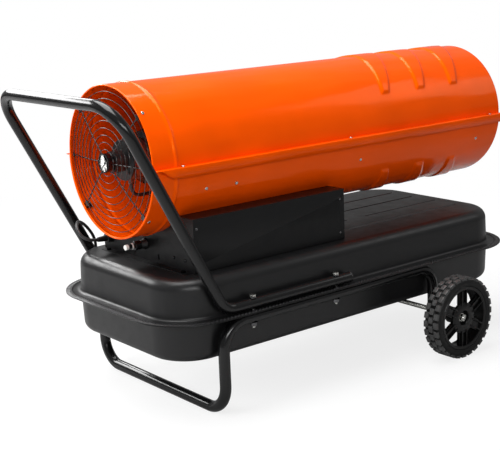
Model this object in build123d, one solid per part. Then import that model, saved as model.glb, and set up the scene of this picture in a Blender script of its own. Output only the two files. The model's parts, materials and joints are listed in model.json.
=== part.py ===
from build123d import *
import math
import os

# Direct-fired oil heater on two wheels: barrel on a support box, on a pressed-steel fuel tank.
# Millimetres. +X runs along the barrel from intake to outlet, +Z is up, the near side is -Y.
# The origin lies on the floor under the middle of the heater.

os.makedirs("parts", exist_ok=True)

# ---------------------------------------------------------------- driving dimensions
RIM_X = -475.0             # intake rim of the barrel
BARREL_LENGTH = 1092.0
BARREL_R = 168.0           # outside radius
BARREL_BOTTOM_Z = 378.0    # height of the barrel's lowest line
BARREL_SHEET = 1.0
LEDGE_WIDTH = 15.0         # seam ledge beyond the barrel
LIP_HEIGHT = 22.0          # return lip under the ledge

FLANGE_X0 = 40.0           # tank flange, this far in front of the intake rim
FLANGE_LENGTH = 1114.0
FLANGE_WIDTH = 526.0
FLANGE_CORNER_R = 137.0
FLANGE_INSET = 36.0        # from the flange's edge to the tank's wall
SEAM_Z = 224.0
TANK_TOP_Z = 312.0
TANK_BOTTOM_Z = 130.0
TANK_SHEET = 1.2
TANK_TOP_FILLET = 25.0
TANK_BOTTOM_FILLET = 20.0

TUBE_R = 12.5              # bent tubes of handle and undercarriage
TUBE_WALL = 1.5
RAIL_INSET = 20.5          # from the flange's edge to the middle of both rails
RAIL_GAP = 3.0             # spacer between the handle's rail and the flange
RAIL_BOLTS = (187.0, 430.0)
HANDLE_CORNER = 110.4      # where rail and sloping leg would meet
HANDLE_RAIL_END = 472.0
HANDLE_BAR = (-129.5, 694.7)
LOOP_FROM_RIM = 104.0      # front floor loop
AXLE_FROM_RIM = 753.5

WHEEL_R = 100.0
TYRE_WIDTH = 46.0
WHEEL_OUTREACH = 105.5     # from the rails to the outer face of each wheel
AXLE_R = 6.0
STUB_R = 5.0

BOX_START = 84.0           # support box under the barrel
BOX_END = 520.0
BOX_OUTREACH = 12.0        # from the barrel's side to the box's side
BOX_SADDLE = 54.0          # how far the box reaches up round the barrel
BOX_SHEET = 1.2

GAUGE_R = 21.0
MOTOR_R = 58.0
AIR_JACKET = 40.0          # between the barrel's outside and the combustion chamber's
CORD_R = 3.75

# ---------------------------------------------------------------- clearances
RUNNING_GAP = 0.08         # shafts and wheels on their bores, radial
SHEET_GAP = 0.3            # sheets and covers beside curved neighbours
SEAT_GAP = 0.1             # clips and feet on the inside of the barrel
FAN_GAP = 14.0             # from the blades' tips to the barrel's outside
SCREW_R = 2.0
SCREW_HEAD_R = 4.0
SCREW_HEAD = 2.6
SCREW_LENGTH = 7.0
BOLT_HOLE_R = 4.2
BEYOND = 10.0              # how far a cutting tool runs past what it cuts

# ---------------------------------------------------------------- worked out from them
AXIS_Z = BARREL_BOTTOM_Z + BARREL_R
BARREL_BORE_R = BARREL_R - BARREL_SHEET
BOX_TOP_Z = BARREL_BOTTOM_Z + BOX_SADDLE
BOX_HALF_WIDTH = BARREL_R + BOX_OUTREACH
RAIL_Y = FLANGE_WIDTH / 2 - RAIL_INSET
WHEEL_FACE_Y = RAIL_Y + WHEEL_OUTREACH
FAN_TIP_R = BARREL_R - FAN_GAP
CHAMBER_R = BARREL_R - AIR_JACKET
SIDES = (-1, 1)

parts = {}


def at(distance):
    """X of a place this far behind the intake rim."""
    return RIM_X + distance


def keep(name, shape):
    parts[name] = shape


def rod(start, end, radius):
    """Straight round bar between two points."""
    start = Vector(*start)
    run = Vector(*end) - start
    return Plane(origin=start, z_dir=run) * extrude(Circle(radius), run.length)


def upright(x, y, low, high, radius):
    """Upright round bar."""
    return rod((x, y, low), (x, y, high), radius)


def pipe(x, y, low, high, outer, inner):
    """Upright round pipe."""
    return upright(x, y, low, high, outer) - upright(x, y, low - BEYOND, high + BEYOND, inner)


def bar(low, high):
    """Box between two opposite corners."""
    size = [abs(b - a) for a, b in zip(low, high)]
    middle = [(a + b) / 2 for a, b in zip(low, high)]
    return Pos(*middle) * Box(*size)


def disc_x(start, end, radius, y=0.0, z=AXIS_Z):
    """Round bar along the barrel between two distances behind the rim."""
    return rod((at(start), y, z), (at(end), y, z), radius)


def ring_x(start, end, outer, inner, y=0.0, z=AXIS_Z):
    return disc_x(start, end, outer, y, z) - disc_x(start - BEYOND, end + BEYOND, inner, y, z)


def bent_tube(points, radii, outer, wall=None):
    """Tube of round section along straight runs joined by tangent arcs."""
    path = FilletPolyline(*points, radius=radii)
    section = Circle(outer)
    if wall:
        section = section - Circle(outer - wall)
    return sweep(Plane(origin=path @ 0, z_dir=path % 0) * section, path=path)


def hex_bolt(top, down, shank_r, head_r, head_h, length):
    """Hexagon head with its shank running along the unit vector down."""
    plane = Plane(origin=Vector(*top), z_dir=Vector(*down) * -1)
    head = plane * extrude(RegularPolygon(head_r, 6), head_h)
    shank = plane * Pos(0, 0, -length) * extrude(Circle(shank_r), length)
    return head + shank


def hex_nut(low, corner_r, height, hole_r):
    """Hexagon nut standing on low, axis up."""
    return Pos(*low) * (extrude(RegularPolygon(corner_r, 6), height) - extrude(Circle(hole_r), height))


def round_screw(seat, outward, head_r=SCREW_HEAD_R, head_h=SCREW_HEAD, length=SCREW_LENGTH):
    """Low domed head standing on seat, with its shank going inward."""
    plane = Plane(origin=Vector(*seat), z_dir=Vector(*outward))
    head = plane * extrude(Circle(head_r), head_h)
    rim = head.edges().sort_by(lambda edge: plane.to_local_coords(edge.center()).Z)[-1]
    head = fillet(rim, head_h * 0.7)
    shank = plane * Pos(0, 0, -length) * extrude(Circle(SCREW_R), length)
    return head + shank


def radial(angle, radius):
    """(y, z) on the barrel at this angle: 0 on the near side, 90 on top."""
    turn = math.radians(angle)
    return -radius * math.cos(turn), AXIS_Z + radius * math.sin(turn)


def radial_hole(distance, angle):
    """Screw hole through the barrel's sheet."""
    inside, outside = radial(angle, BARREL_R - BEYOND), radial(angle, BARREL_R + BEYOND)
    return rod((at(distance), *inside), (at(distance), *outside), SCREW_R)


def round_the_axis(shape, angle):
    """Carry a piece made beside the X axis, above it, to its angle round the barrel's axis."""
    return Pos(0, 0, AXIS_Z) * Rot(90 - angle, 0, 0) * shape


def revolve_half(face, upper):
    """Turn a face drawn beside the barrel's axis through the upper or the lower half circle."""
    axis = Axis((0, 0, AXIS_Z), (1, 0, 0))
    return revolve(face, axis=axis, revolution_arc=180 if upper else -180)


# ================================================================ tank
TANK_X = at(-FLANGE_X0) + FLANGE_LENGTH / 2
DRAFT = 2.0                  # degrees that the drawn walls lean
HEM = 6.0                    # width of the folded seam along the flange's edge
HEM_EDGE = 1.5
GROOVE_R = 2.6
GROOVE_DEPTH = 1.6
GROOVE_FLOOR = 3.0           # under side of the sheet below a groove
GROOVE_HALF = 3.8
# stamped grooves in the top: start and end behind the rim, y
GROOVES = [(560, 980, 40), (560, 660, -40), (728, 985, -40), (560, 980, -115), (660, 980, 115)]
FILLER = (590.0, 140.0)      # distance behind the rim, y
NECK_R = 26.0
PICKUP = (460.0, -60.0)
PICKUP_R = 12.0
DRAIN = (640.0, 0.0)
DRAIN_R = 8.0
FOOT_BOLT_R = 3.0
PANEL_FOOT_Y = BOX_HALF_WIDTH - 31.0
PANEL_FEET = [(x, side * PANEL_FOOT_Y) for x in (BOX_START - 9.0, BOX_END - 10.0) for side in SIDES]


def tank_outline(inset, z):
    return Pos(TANK_X, 0, z) * RectangleRounded(FLANGE_LENGTH - 2 * inset, FLANGE_WIDTH - 2 * inset,
                                                FLANGE_CORNER_R - inset)


def tank_half(z0, z1, edge_fillet, sheet):
    """Deep-drawn half, closed at z1 and open at z0."""
    height = abs(z1 - z0)
    sign = 1 if z1 > z0 else -1
    shells = []
    for thickness in (0.0, sheet):
        block = extrude(tank_outline(FLANGE_INSET + thickness, z0), sign * (height - thickness), taper=DRAFT)
        cap = block.faces().sort_by(Axis.Z)[-1 if sign > 0 else 0]
        shells.append(fillet(cap.edges(), edge_fillet - thickness))
    return shells[0] - shells[1]


def flange_ring(outer_inset, inner_inset, low, height):
    return extrude(tank_outline(outer_inset, low), height) - extrude(tank_outline(inner_inset, low), height)


def top_groove(start, end, y):
    """Long stamped groove in the tank's top, with round ends."""
    z = TANK_TOP_Z + GROOVE_R - GROOVE_DEPTH
    ends = [Pos(at(place), y, z) * Sphere(GROOVE_R) for place in (start, end)]
    return rod((at(start), y, z), (at(end), y, z), GROOVE_R) + ends


def make_tank_upper():
    upper = tank_half(SEAM_Z, TANK_TOP_Z, TANK_TOP_FILLET, TANK_SHEET)
    upper = upper + flange_ring(HEM_EDGE, FLANGE_INSET + TANK_SHEET, SEAM_Z, TANK_SHEET)
    for start, end, y in GROOVES:
        floor = bar((at(start), y - GROOVE_HALF, TANK_TOP_Z - GROOVE_FLOOR),
                    (at(end), y + GROOVE_HALF, TANK_TOP_Z - TANK_SHEET / 2))
        upper = upper + floor - top_groove(start, end, y)
    return upper


def make_tank_lower():
    lower = tank_half(SEAM_Z, TANK_BOTTOM_Z, TANK_BOTTOM_FILLET, TANK_SHEET)
    lower = lower + flange_ring(0, FLANGE_INSET + TANK_SHEET, SEAM_Z - TANK_SHEET, TANK_SHEET)
    lower = lower + flange_ring(0, HEM_EDGE, SEAM_Z, TANK_SHEET)
    return lower + flange_ring(0, HEM, SEAM_Z + TANK_SHEET, TANK_SHEET)


def make_tank():
    upper, lower = make_tank_upper(), make_tank_lower()
    for x in RAIL_BOLTS:
        for side in SIDES:
            hole = upright(at(x), side * RAIL_Y, SEAM_Z - BEYOND, SEAM_Z + BEYOND, BOLT_HOLE_R)
            upper = upper - hole
            lower = lower - hole
    openings = [(*FILLER, NECK_R), (*PICKUP, PICKUP_R)] + [(x, y, FOOT_BOLT_R) for x, y in PANEL_FEET]
    for x, y, r in openings:
        upper = upper - upright(at(x), y, TANK_TOP_Z - BEYOND, TANK_TOP_Z + BEYOND, r)
    lower = lower - upright(at(DRAIN[0]), DRAIN[1], TANK_BOTTOM_Z - BEYOND, TANK_BOTTOM_Z + BEYOND, DRAIN_R)
    keep("tank_upper", upper)
    keep("tank_lower", lower)


NECK_HEIGHT = 22.0
NECK_DEPTH = 14.0
NECK_WALL = 2.0
NECK_FLANGE = 7.0
CUP_DEPTH = 70.0
CUP_WALL = 1.2
SEAL_THICK = 2.0
CAP_GAP = 0.6
CAP_TOP = 38.0


def make_filler():
    x, y, r, top = at(FILLER[0]), FILLER[1], NECK_R, TANK_TOP_Z
    mouth = top + NECK_HEIGHT
    neck = pipe(x, y, top - NECK_DEPTH, mouth, r, r - NECK_WALL)
    keep("filler_neck", neck + pipe(x, y, top, top + NECK_WALL, r + NECK_FLANGE, r - NECK_WALL))
    cup_r = r - NECK_WALL - 0.4
    cup = upright(x, y, top - CUP_DEPTH, mouth, cup_r)
    cup = cup - upright(x, y, top - CUP_DEPTH + CUP_WALL, mouth + BEYOND, cup_r - CUP_WALL)
    rim = pipe(x, y, mouth, mouth + CUP_WALL, r, cup_r - CUP_WALL)
    slots = [Pos(x, y, top - 40) * Rot(0, 0, k * 30) * Box(2 * r + BEYOND, 3, 44) for k in range(6)]
    keep("filler_strainer", cup + rim - slots)
    # cap: a seal that rides with it, a skirt over the neck, a grip with lobes
    seat = mouth + CUP_WALL
    keep("cap_seal", pipe(x, y, seat, seat + SEAL_THICK, r, r - 5))
    skirt = upright(x, y, top + 6, top + CAP_TOP, r + 9)
    skirt = skirt - upright(x, y, top, seat + SEAL_THICK, r + CAP_GAP)
    lobes = [Pos(x, y, top + 22) * Rot(0, 0, k * 45) * Pos(r + 11, 0, 0) * Cylinder(5, 40) for k in range(8)]
    keep("filler_cap", skirt - lobes + upright(x, y, top + CAP_TOP, top + CAP_TOP + 3, r + 2))


def make_drain_plug():
    x, y = at(DRAIN[0]), DRAIN[1]
    washer = 2.0
    plug = hex_bolt((x, y, TANK_BOTTOM_Z - washer), (0, 0, 1), DRAIN_R, 11, 7, 18)
    keep("tank_drain_plug", plug + upright(x, y, TANK_BOTTOM_Z - washer, TANK_BOTTOM_Z, DRAIN_R + 4))


# ================================================================ undercarriage and handle
FRAME_RAIL_Z = SEAM_Z - TANK_SHEET - TUBE_R
HANDLE_RAIL_Z = SEAM_Z + TANK_SHEET + RAIL_GAP + TUBE_R
FRAME_BEND_R = 60.0
REAR_BEND_R = 50.0
LEG_END_Z = WHEEL_R - 18.0
HANDLE_LOW_R = 45.0
HANDLE_TOP_R = 75.0
BOLT_R = 4.0
WASHER = 1.5
PLUG_CAP = 3.0


def both_halves(half):
    """Points of a hoop from its near half: (x, z) pairs, then the same ones back on the far side."""
    return [(x, -RAIL_Y, z) for x, z in half] + [(x, RAIL_Y, z) for x, z in reversed(half)]


def bolt_holes(rail_z):
    return [upright(at(x), side * RAIL_Y, rail_z - 2 * TUBE_R, rail_z + 2 * TUBE_R, BOLT_R)
            for x in RAIL_BOLTS for side in SIDES]


def make_frame():
    loop, axle = at(LOOP_FROM_RIM), at(AXLE_FROM_RIM)
    half = [(axle, LEG_END_Z), (axle, FRAME_RAIL_Z), (loop, FRAME_RAIL_Z), (loop, TUBE_R)]
    bends = [REAR_BEND_R, FRAME_BEND_R, FRAME_BEND_R]
    tube = bent_tube(both_halves(half), bends + bends[::-1], TUBE_R, TUBE_WALL)
    tube = tube - rod((axle, -2 * RAIL_Y, WHEEL_R), (axle, 2 * RAIL_Y, WHEEL_R), AXLE_R)
    keep("frame_tube", tube - bolt_holes(FRAME_RAIL_Z))


def make_handle():
    bar_x, bar_z = at(HANDLE_BAR[0]), HANDLE_BAR[1]
    half = [(at(HANDLE_RAIL_END), HANDLE_RAIL_Z), (at(HANDLE_CORNER), HANDLE_RAIL_Z), (bar_x, bar_z)]
    bends = [HANDLE_LOW_R, HANDLE_TOP_R, HANDLE_TOP_R, HANDLE_LOW_R]
    tube = bent_tube(both_halves(half), bends, TUBE_R, TUBE_WALL)
    keep("handle_tube", tube - bolt_holes(HANDLE_RAIL_Z))


def make_tube_plugs():
    plugs = []
    inner = TUBE_R - TUBE_WALL
    for side in SIDES:
        y = side * RAIL_Y
        end = HANDLE_RAIL_END
        plugs.append(disc_x(end, end + PLUG_CAP, TUBE_R, y, HANDLE_RAIL_Z)
                     + disc_x(end - 4 * PLUG_CAP, end, inner, y, HANDLE_RAIL_Z))
        x = at(AXLE_FROM_RIM)
        plugs.append(upright(x, y, LEG_END_Z - PLUG_CAP, LEG_END_Z, TUBE_R)
                     + upright(x, y, LEG_END_Z, LEG_END_Z + 8, inner))
    keep("tube_end_plugs", Compound(plugs))


def make_rail_bolts():
    """Bolts through both rails and the flange between them, with nuts, washers and spacers."""
    top, bottom = HANDLE_RAIL_Z + TUBE_R, FRAME_RAIL_Z - TUBE_R
    flange_top = SEAM_Z + TANK_SHEET
    nut, head, below = 6.6, 5.3, 12.0
    bolts, nuts, washers = [], [], []
    for x in RAIL_BOLTS:
        for side in SIDES:
            px, y = at(x), side * RAIL_Y
            bolts.append(hex_bolt((px, y, top + WASHER), (0, 0, -1), BOLT_R, 7.5, head,
                                  top + WASHER - bottom + below))
            nuts.append(hex_nut((px, y, bottom - WASHER - nut), 7.5, nut, BOLT_R))
            washers.append(pipe(px, y, top, top + WASHER, 9.0, BOLT_R))
            washers.append(pipe(px, y, bottom - WASHER, bottom, 9.0, BOLT_R))
            washers.append(pipe(px, y, flange_top, flange_top + RAIL_GAP, 8.5, BOLT_R))
    keep("handle_bolts", Compound(bolts))
    keep("handle_nuts", Compound(nuts))
    keep("handle_washers", Compound(washers))


# ================================================================ wheels
HUB_INNER_Y = WHEEL_FACE_Y - 48.0
HUB_RECESS_Y = WHEEL_FACE_Y - 14.0
RIM_R = WHEEL_R - 22.0
RIM_WALL = 8.0
TREAD_BLOCKS = 26
TREAD_DEPTH = 4.5
TREAD_GAP = 7.0
SHOULDER = 5.0
SPOKES = 6
HUB_R = 21.0
WEB_DEPTH = 26.0
WEB_THICK = 5.0
AXLE_WASHER = 1.5


def tyre_shape():
    """Tyre about the Z axis, outer face up at z = 0, staggered rows of tread blocks."""
    rows = []
    for row in range(2):
        ring = Circle(WHEEL_R)
        for k in range(TREAD_BLOCKS):
            turn = (k + 0.5 * row) * 360 / TREAD_BLOCKS
            ring = ring - Rot(0, 0, turn) * Pos(WHEEL_R, 0) * Rectangle(2 * TREAD_DEPTH, TREAD_GAP)
        rows.append(Pos(0, 0, -TYRE_WIDTH + row * TYRE_WIDTH / 2) * extrude(ring, TYRE_WIDTH / 2))
    bead, side, back = 3.0, RIM_R + 12.0, -TYRE_WIDTH
    profile = Polyline((RIM_R, back + bead), (side, back), (WHEEL_R - SHOULDER, back),
                       (WHEEL_R, back + SHOULDER), (WHEEL_R, -SHOULDER), (WHEEL_R - SHOULDER, 0),
                       (side, 0), (RIM_R, -bead), close=True)
    envelope = revolve(Plane.XZ * make_face(profile), axis=Axis.Z)
    middle = Rectangle(TREAD_DEPTH + 0.5, 3)
    groove = revolve(Plane.XZ * Pos(WHEEL_R, -TYRE_WIDTH / 2) * middle, axis=Axis.Z)
    return ((rows[0] + rows[1]) & envelope) - groove


def rim_window():
    """One of the openings between two spokes, drawn from the hub outward."""
    reach, half = RIM_R - 14.0, 17.0
    corners = make_face(Polyline((HUB_R + 9, 0), (reach, half), (reach, -half), close=True))
    return fillet(corners.vertices(), 3.5)


def rim_shape():
    """Plastic wheel centre about the Z axis, outer face at z = 0."""
    inset = 1.5
    inner = RIM_R - RIM_WALL
    band = Pos(0, 0, -inset) * extrude(Circle(RIM_R) - Circle(inner), 2 * inset - TYRE_WIDTH)
    web = Pos(0, 0, -WEB_DEPTH) * extrude(Circle(inner + 1), WEB_THICK)
    step = 360 / SPOKES
    windows, ribs = [], []
    rib_start, rib_end = 16.0, RIM_R - 6.0
    for k in range(SPOKES):
        windows.append(Pos(0, 0, -WEB_DEPTH - 4) * Rot(0, 0, step * k) * extrude(rim_window(), 14))
        for offset in (-7.5, 7.5):
            rib = Box(rib_end - rib_start, 3, 20)
            ribs.append(Rot(0, 0, step * (k + 0.5)) * Pos((rib_start + rib_end) / 2, offset, -16) * rib)
    back = HUB_INNER_Y - WHEEL_FACE_Y
    hub = Pos(0, 0, back) * extrude(Circle(HUB_R), -back - 2 * inset)
    wheel = band + web + ribs + hub - windows
    recess = Pos(0, 0, HUB_RECESS_Y - WHEEL_FACE_Y) * extrude(Circle(HUB_R - 5), 30)
    bore = Pos(0, 0, -80) * extrude(Circle(STUB_R + RUNNING_GAP), 120)
    return wheel - recess - bore


def make_wheels():
    tyre, rim = tyre_shape(), rim_shape()
    for name, side in (("near", -1), ("far", 1)):
        place = Plane(origin=(at(AXLE_FROM_RIM), side * WHEEL_FACE_Y, WHEEL_R), x_dir=(1, 0, 0),
                      z_dir=(0, side, 0))
        keep("tyre_" + name, place * tyre)
        keep("wheel_rim_" + name, place * rim)


def make_axle():
    x, z = at(AXLE_FROM_RIM), WHEEL_R
    shoulder = HUB_INNER_Y - 2.0
    end = HUB_RECESS_Y + 12.0
    keep("axle", rod((x, -shoulder, z), (x, shoulder, z), AXLE_R) + rod((x, -end, z), (x, end, z), STUB_R))
    nuts = []
    outer_washer = HUB_RECESS_Y + SHEET_GAP
    for side in SIDES:
        plane = Plane(origin=(x, side * (outer_washer + AXLE_WASHER), z), z_dir=(0, side, 0))
        nuts.append(plane * (extrude(RegularPolygon(9.0, 6), 7.5) - extrude(Circle(STUB_R), 7.5)))
        for low in (shoulder, outer_washer):
            plane = Plane(origin=(x, side * low, z), z_dir=(0, side, 0))
            ring = Circle(2.1 * STUB_R) - Circle(STUB_R)
            nuts.append(plane * extrude(ring, AXLE_WASHER))
    keep("axle_nuts", Compound(nuts))


# ================================================================ support box
FOOT = 18.0
FOOT_INSET = 12.0
SIDE_FLANGE = 22.0           # turned-in edges of the end panels, which the covers are screwed to
COVER_SCREWS = [(x, z) for x in (BOX_START + 9.0, BOX_END - 14.0) for z in (330.0, 410.0)]
TRAY_SCREWS = [(-(BOX_HALF_WIDTH - 76.0), 337.0), (-(BOX_HALF_WIDTH - 34.0), 337.0)]
LUG_SLOTS = [(51.0, 327.0), (-45.0, 327.5)]
SOCKET = (6.6, 349.6)        # y, z of the small socket on the intake panel
SOCKET_R = 9.0
GLAND = (BOX_HALF_WIDTH - 29.0, 341.0)
GLAND_R = 8.0
SWITCH = (180.0, 372.0)      # distance behind the rim, z, on the far cover
SWITCH_HALF = (11.0, 14.0)
RESET = (240.0, 372.0)
RESET_R = 7.0
RESET_TRAVEL = 3.0
BUSHING_WALL = 3.0


def end_panel(start, inward):
    """Upright sheet with a saddle for the barrel, side flanges and a foot."""
    half, top = BOX_HALF_WIDTH - BOX_SHEET, BOX_TOP_Z - BOX_SHEET
    x = at(start)
    sheet = bar((x, -half, TANK_TOP_Z), (x + inward * BOX_SHEET, half, top))
    for side in SIDES:
        sheet = sheet + bar((x, side * half, TANK_TOP_Z + 3),
                            (x + inward * SIDE_FLANGE, side * (half - BOX_SHEET), top))
    foot_y = half - FOOT_INSET
    sheet = sheet + bar((x - FOOT, -foot_y, TANK_TOP_Z), (x, foot_y, TANK_TOP_Z + BOX_SHEET))
    for foot_x, y in PANEL_FEET:
        sheet = sheet - upright(at(foot_x), y, TANK_TOP_Z - BEYOND, TANK_TOP_Z + BEYOND, FOOT_BOLT_R)
    for x, z in COVER_SCREWS:
        for side in SIDES:
            sheet = sheet - cover_hole(x, z, side)
    return sheet - disc_x(start - 2 * SIDE_FLANGE, start + 2 * SIDE_FLANGE, BARREL_R + SHEET_GAP)


def cover_hole(x, z, side):
    inside, outside = BOX_HALF_WIDTH - BEYOND, BOX_HALF_WIDTH + BEYOND
    return rod((at(x), side * inside, z), (at(x), side * outside, z), SCREW_R)


def side_cover(side):
    """Flat cover with a narrow top strip that reaches in to the barrel."""
    low, high = TANK_TOP_Z + 1, BOX_TOP_Z
    drop = AXIS_Z - BOX_TOP_Z
    meets_barrel = math.sqrt(BARREL_R ** 2 - drop ** 2)
    face = side * BOX_HALF_WIDTH
    cover = bar((at(BOX_START), face, low), (at(BOX_END), face - side * BOX_SHEET, high))
    cover = cover + bar((at(BOX_START), face, high - BOX_SHEET),
                        (at(BOX_END), side * (meets_barrel - 5), high))
    cover = cover - disc_x(BOX_START - BEYOND, BOX_END + BEYOND, BARREL_R + SHEET_GAP)
    for x, z in COVER_SCREWS:
        cover = cover - cover_hole(x, z, side)
    return cover


def make_box():
    intake, outlet = end_panel(BOX_START, 1), end_panel(BOX_END, -1)
    before, behind = BOX_START - BEYOND, BOX_START + BEYOND
    for y, z in TRAY_SCREWS:
        intake = intake - disc_x(before, behind, SCREW_R, y, z)
    for y, z in LUG_SLOTS:
        intake = intake - bar((at(before), y - 2.5, z - 6), (at(behind), y + 2.5, z + 6))
    intake = intake - disc_x(before, behind, SOCKET_R, *SOCKET) - disc_x(before, behind, GLAND_R, *GLAND)
    inside, outside = BOX_HALF_WIDTH - BEYOND, BOX_HALF_WIDTH + BEYOND
    x, z = at(SWITCH[0]), SWITCH[1]
    far = side_cover(1) - bar((x - SWITCH_HALF[0], inside, z - SWITCH_HALF[1]),
                              (x + SWITCH_HALF[0], outside, z + SWITCH_HALF[1]))
    x, z = at(RESET[0]), RESET[1]
    far = far - rod((x, inside, z), (x, outside, z), RESET_R + BUSHING_WALL)
    keep("intake_panel", intake)
    keep("outlet_panel", outlet)
    keep("near_cover", side_cover(-1))
    keep("control_panel", far)


def make_box_screws():
    screws = [round_screw((at(x), side * BOX_HALF_WIDTH, z), (0, side, 0), 3.2, 1.8)
              for side in SIDES for x, z in COVER_SCREWS]
    keep("cover_screws", Compound(screws))
    feet = [hex_bolt((at(x), y, TANK_TOP_Z + BOX_SHEET), (0, 0, -1), FOOT_BOLT_R, 5.6, 4.0, 12)
            for x, y in PANEL_FEET]
    feet += [round_screw((at(BOX_START), y, z), (-1, 0, 0), 3.6, 2.2) for y, z in TRAY_SCREWS]
    keep("panel_bolts", Compound(feet))


PLUG_BODY = 50.0             # bridge plug in front of the panel
BRIDGE_PIN_R = 7.4


def make_socket():
    """Socket on the intake panel, with the bridge plug that stands in for a room thermostat."""
    face = BOX_START
    socket = disc_x(face - 3.5, face, SOCKET_R + 4, *SOCKET) + disc_x(face, face + 22, SOCKET_R, *SOCKET)
    socket = socket + disc_x(face - 14, face - 3.5, SOCKET_R + 1, *SOCKET)
    keep("thermostat_socket", socket - disc_x(face - 15, face + 4, BRIDGE_PIN_R + 0.2, *SOCKET))
    plug = disc_x(face - PLUG_BODY - 4, face + 3, BRIDGE_PIN_R, *SOCKET)
    plug = plug + disc_x(face - 30, face - 14.2, SOCKET_R + 1.5, *SOCKET)
    keep("bridge_plug", plug + disc_x(face - PLUG_BODY - 4, face - PLUG_BODY + 10, SOCKET_R - 0.4, *SOCKET))


ROCKER_TILT = 8.0
ROCKER_HALF = (7.7, 11.5)
ROCKER_RECESS = (8.0, 12.8)
ROCKER_DEPTH = 3.0           # pivot below the cover's face


def make_switch():
    """Rocker in its housing, pivoted just under the far cover's face."""
    x, z = at(SWITCH[0]), SWITCH[1]
    face = BOX_HALF_WIDTH
    half_x, half_z = SWITCH_HALF
    housing = bar((x - half_x, face - 20, z - half_z), (x + half_x, face, z + half_z))
    rim_x, rim_z = half_x + 2, half_z + 3
    housing = housing + bar((x - rim_x, face, z - rim_z), (x + rim_x, face + 2, z + rim_z))
    housing = housing - bar((x - ROCKER_RECESS[0], face - 14, z - ROCKER_RECESS[1]),
                            (x + ROCKER_RECESS[0], face + 5, z + ROCKER_RECESS[1]))
    keep("switch_housing", housing)
    tilt = math.radians(ROCKER_TILT)
    pivot = face - ROCKER_DEPTH
    plane = Plane(origin=(x, pivot, z), x_dir=(1, 0, 0), z_dir=(0, math.cos(tilt), math.sin(tilt)))
    cap = extrude(Rectangle(2 * ROCKER_HALF[0], 2 * ROCKER_HALF[1]), 4.5)
    rocker = plane * Pos(0, 0, 1.5) * cap
    keep("rocker_switch", rocker + rod((x - ROCKER_HALF[0], pivot, z), (x + ROCKER_HALF[0], pivot, z), 3.5))


def make_reset():
    """Reset button sliding in its bushing."""
    x, z = at(RESET[0]), RESET[1]
    face = BOX_HALF_WIDTH
    back, floor, outer = face - 30, face - 26, RESET_R + BUSHING_WALL
    bushing = rod((x, back, z), (x, face, z), outer) + rod((x, face, z), (x, face + 3, z), outer + 3)
    keep("reset_bushing", bushing - rod((x, floor, z), (x, face + 4, z), RESET_R + RUNNING_GAP))
    keep("reset_button", rod((x, face - 20, z), (x, face + RESET_TRAVEL + 4.5, z), RESET_R))


# ================================================================ barrel
BEAD_FROM_RIM = 59.0
BEAD_HEIGHT = 2.5
BEAD_HALF = 6.0
BEAD_TOP_HALF = 3.0
ROLL_R = 1.6                 # rolled edge at the intake, turned inward
OUTLET_HEM = 20.0            # edge folded back inside at the outlet
SEAM_SCREWS = (70.0, 550.0, BARREL_LENGTH - 46.0)
MOTOR_SCREWS = (140.0, 222.0)
CHAMBER_SCREWS = (597.0, BARREL_LENGTH - 81.0)
SIDE_ANGLE = -math.degrees(math.asin(MOTOR_R / BARREL_R))    # screws level with the motor's shelf
SIDE_ANGLES = (SIDE_ANGLE, 180 - SIDE_ANGLE)
GUARD_ANGLES = (43.0, -43.0, 137.0, -137.0)
GUARD_SCREW_FROM_RIM = 12.0
RIB_HEIGHT = 4.0
RIB_START_ANGLE = 31.0
# each stamped rib, measured back from the outlet: left foot, right foot, left crown, right crown
RIBS = [(409, 379, 366, 286), (288, 256, 242, 162), (167, 137, 118, 38)]
RIB_SHOULDER = 42.0          # above its foot a rib has spread by this share of its whole spread
RIB_SHARE = 0.32
# where the hoses pass the bottom of the lower shell: distance behind the rim, y
SHELL_HOLES = [(165.0, 8.0), (297.0, 9.0), (305.0, -9.0)]
SHELL_HOLE_R = 6.0


def bead(half, top_half, base):
    """Section of the raised bead near the intake, standing on this radius."""
    middle, crown = at(BEAD_FROM_RIM), base + BEAD_HEIGHT
    return make_face(Polyline((middle - half, base - 0.1), (middle - top_half, crown),
                              (middle + top_half, crown), (middle + half, base - 0.1), close=True))


def barrel_profile():
    """Section of the sheet along one side of the barrel, drawn beside its axis."""
    r0, r1 = BARREL_BORE_R, BARREL_R
    sheet = Pos(at(BARREL_LENGTH / 2), (r0 + r1) / 2) * Rectangle(BARREL_LENGTH, BARREL_SHEET)
    roll = Pos(at(ROLL_R), r1 - ROLL_R) * Circle(ROLL_R)
    hem = Pos(at(BARREL_LENGTH - OUTLET_HEM / 2), r0 - BARREL_SHEET / 2) * Rectangle(OUTLET_HEM, BARREL_SHEET)
    raised = bead(BEAD_HALF, BEAD_TOP_HALF, r1)
    hollow = bead(BEAD_HALF - BEAD_HEIGHT / 2, BEAD_TOP_HALF - 0.6, r0)
    return Pos(0, 0, AXIS_Z) * (sheet + raised + roll + hem - hollow)


def rib_block(rib, grow, upper):
    """Prism that bounds one stamped rib, seen from the side."""
    left_foot, right_foot, left_crown, right_crown = [at(BARREL_LENGTH - place) for place in rib]
    foot = BARREL_R * math.sin(math.radians(RIB_START_ANGLE)) - grow
    spread = RIB_SHARE * (right_crown - right_foot)
    edge, over = BARREL_R - 3, BARREL_R + 2 * BEYOND
    outline = [(left_foot - grow, foot), (right_foot + grow, foot),
               (right_foot + spread + grow, foot + RIB_SHOULDER), (right_crown + grow, edge),
               (right_crown + grow, over), (left_crown - grow, over), (left_crown - grow, edge)]
    sign = 1 if upper else -1
    face = Plane.XZ * make_face(Polyline(*[(x, AXIS_Z + sign * z) for x, z in outline], close=True))
    return extrude(face, 1.2 * BARREL_R, both=True)


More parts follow.
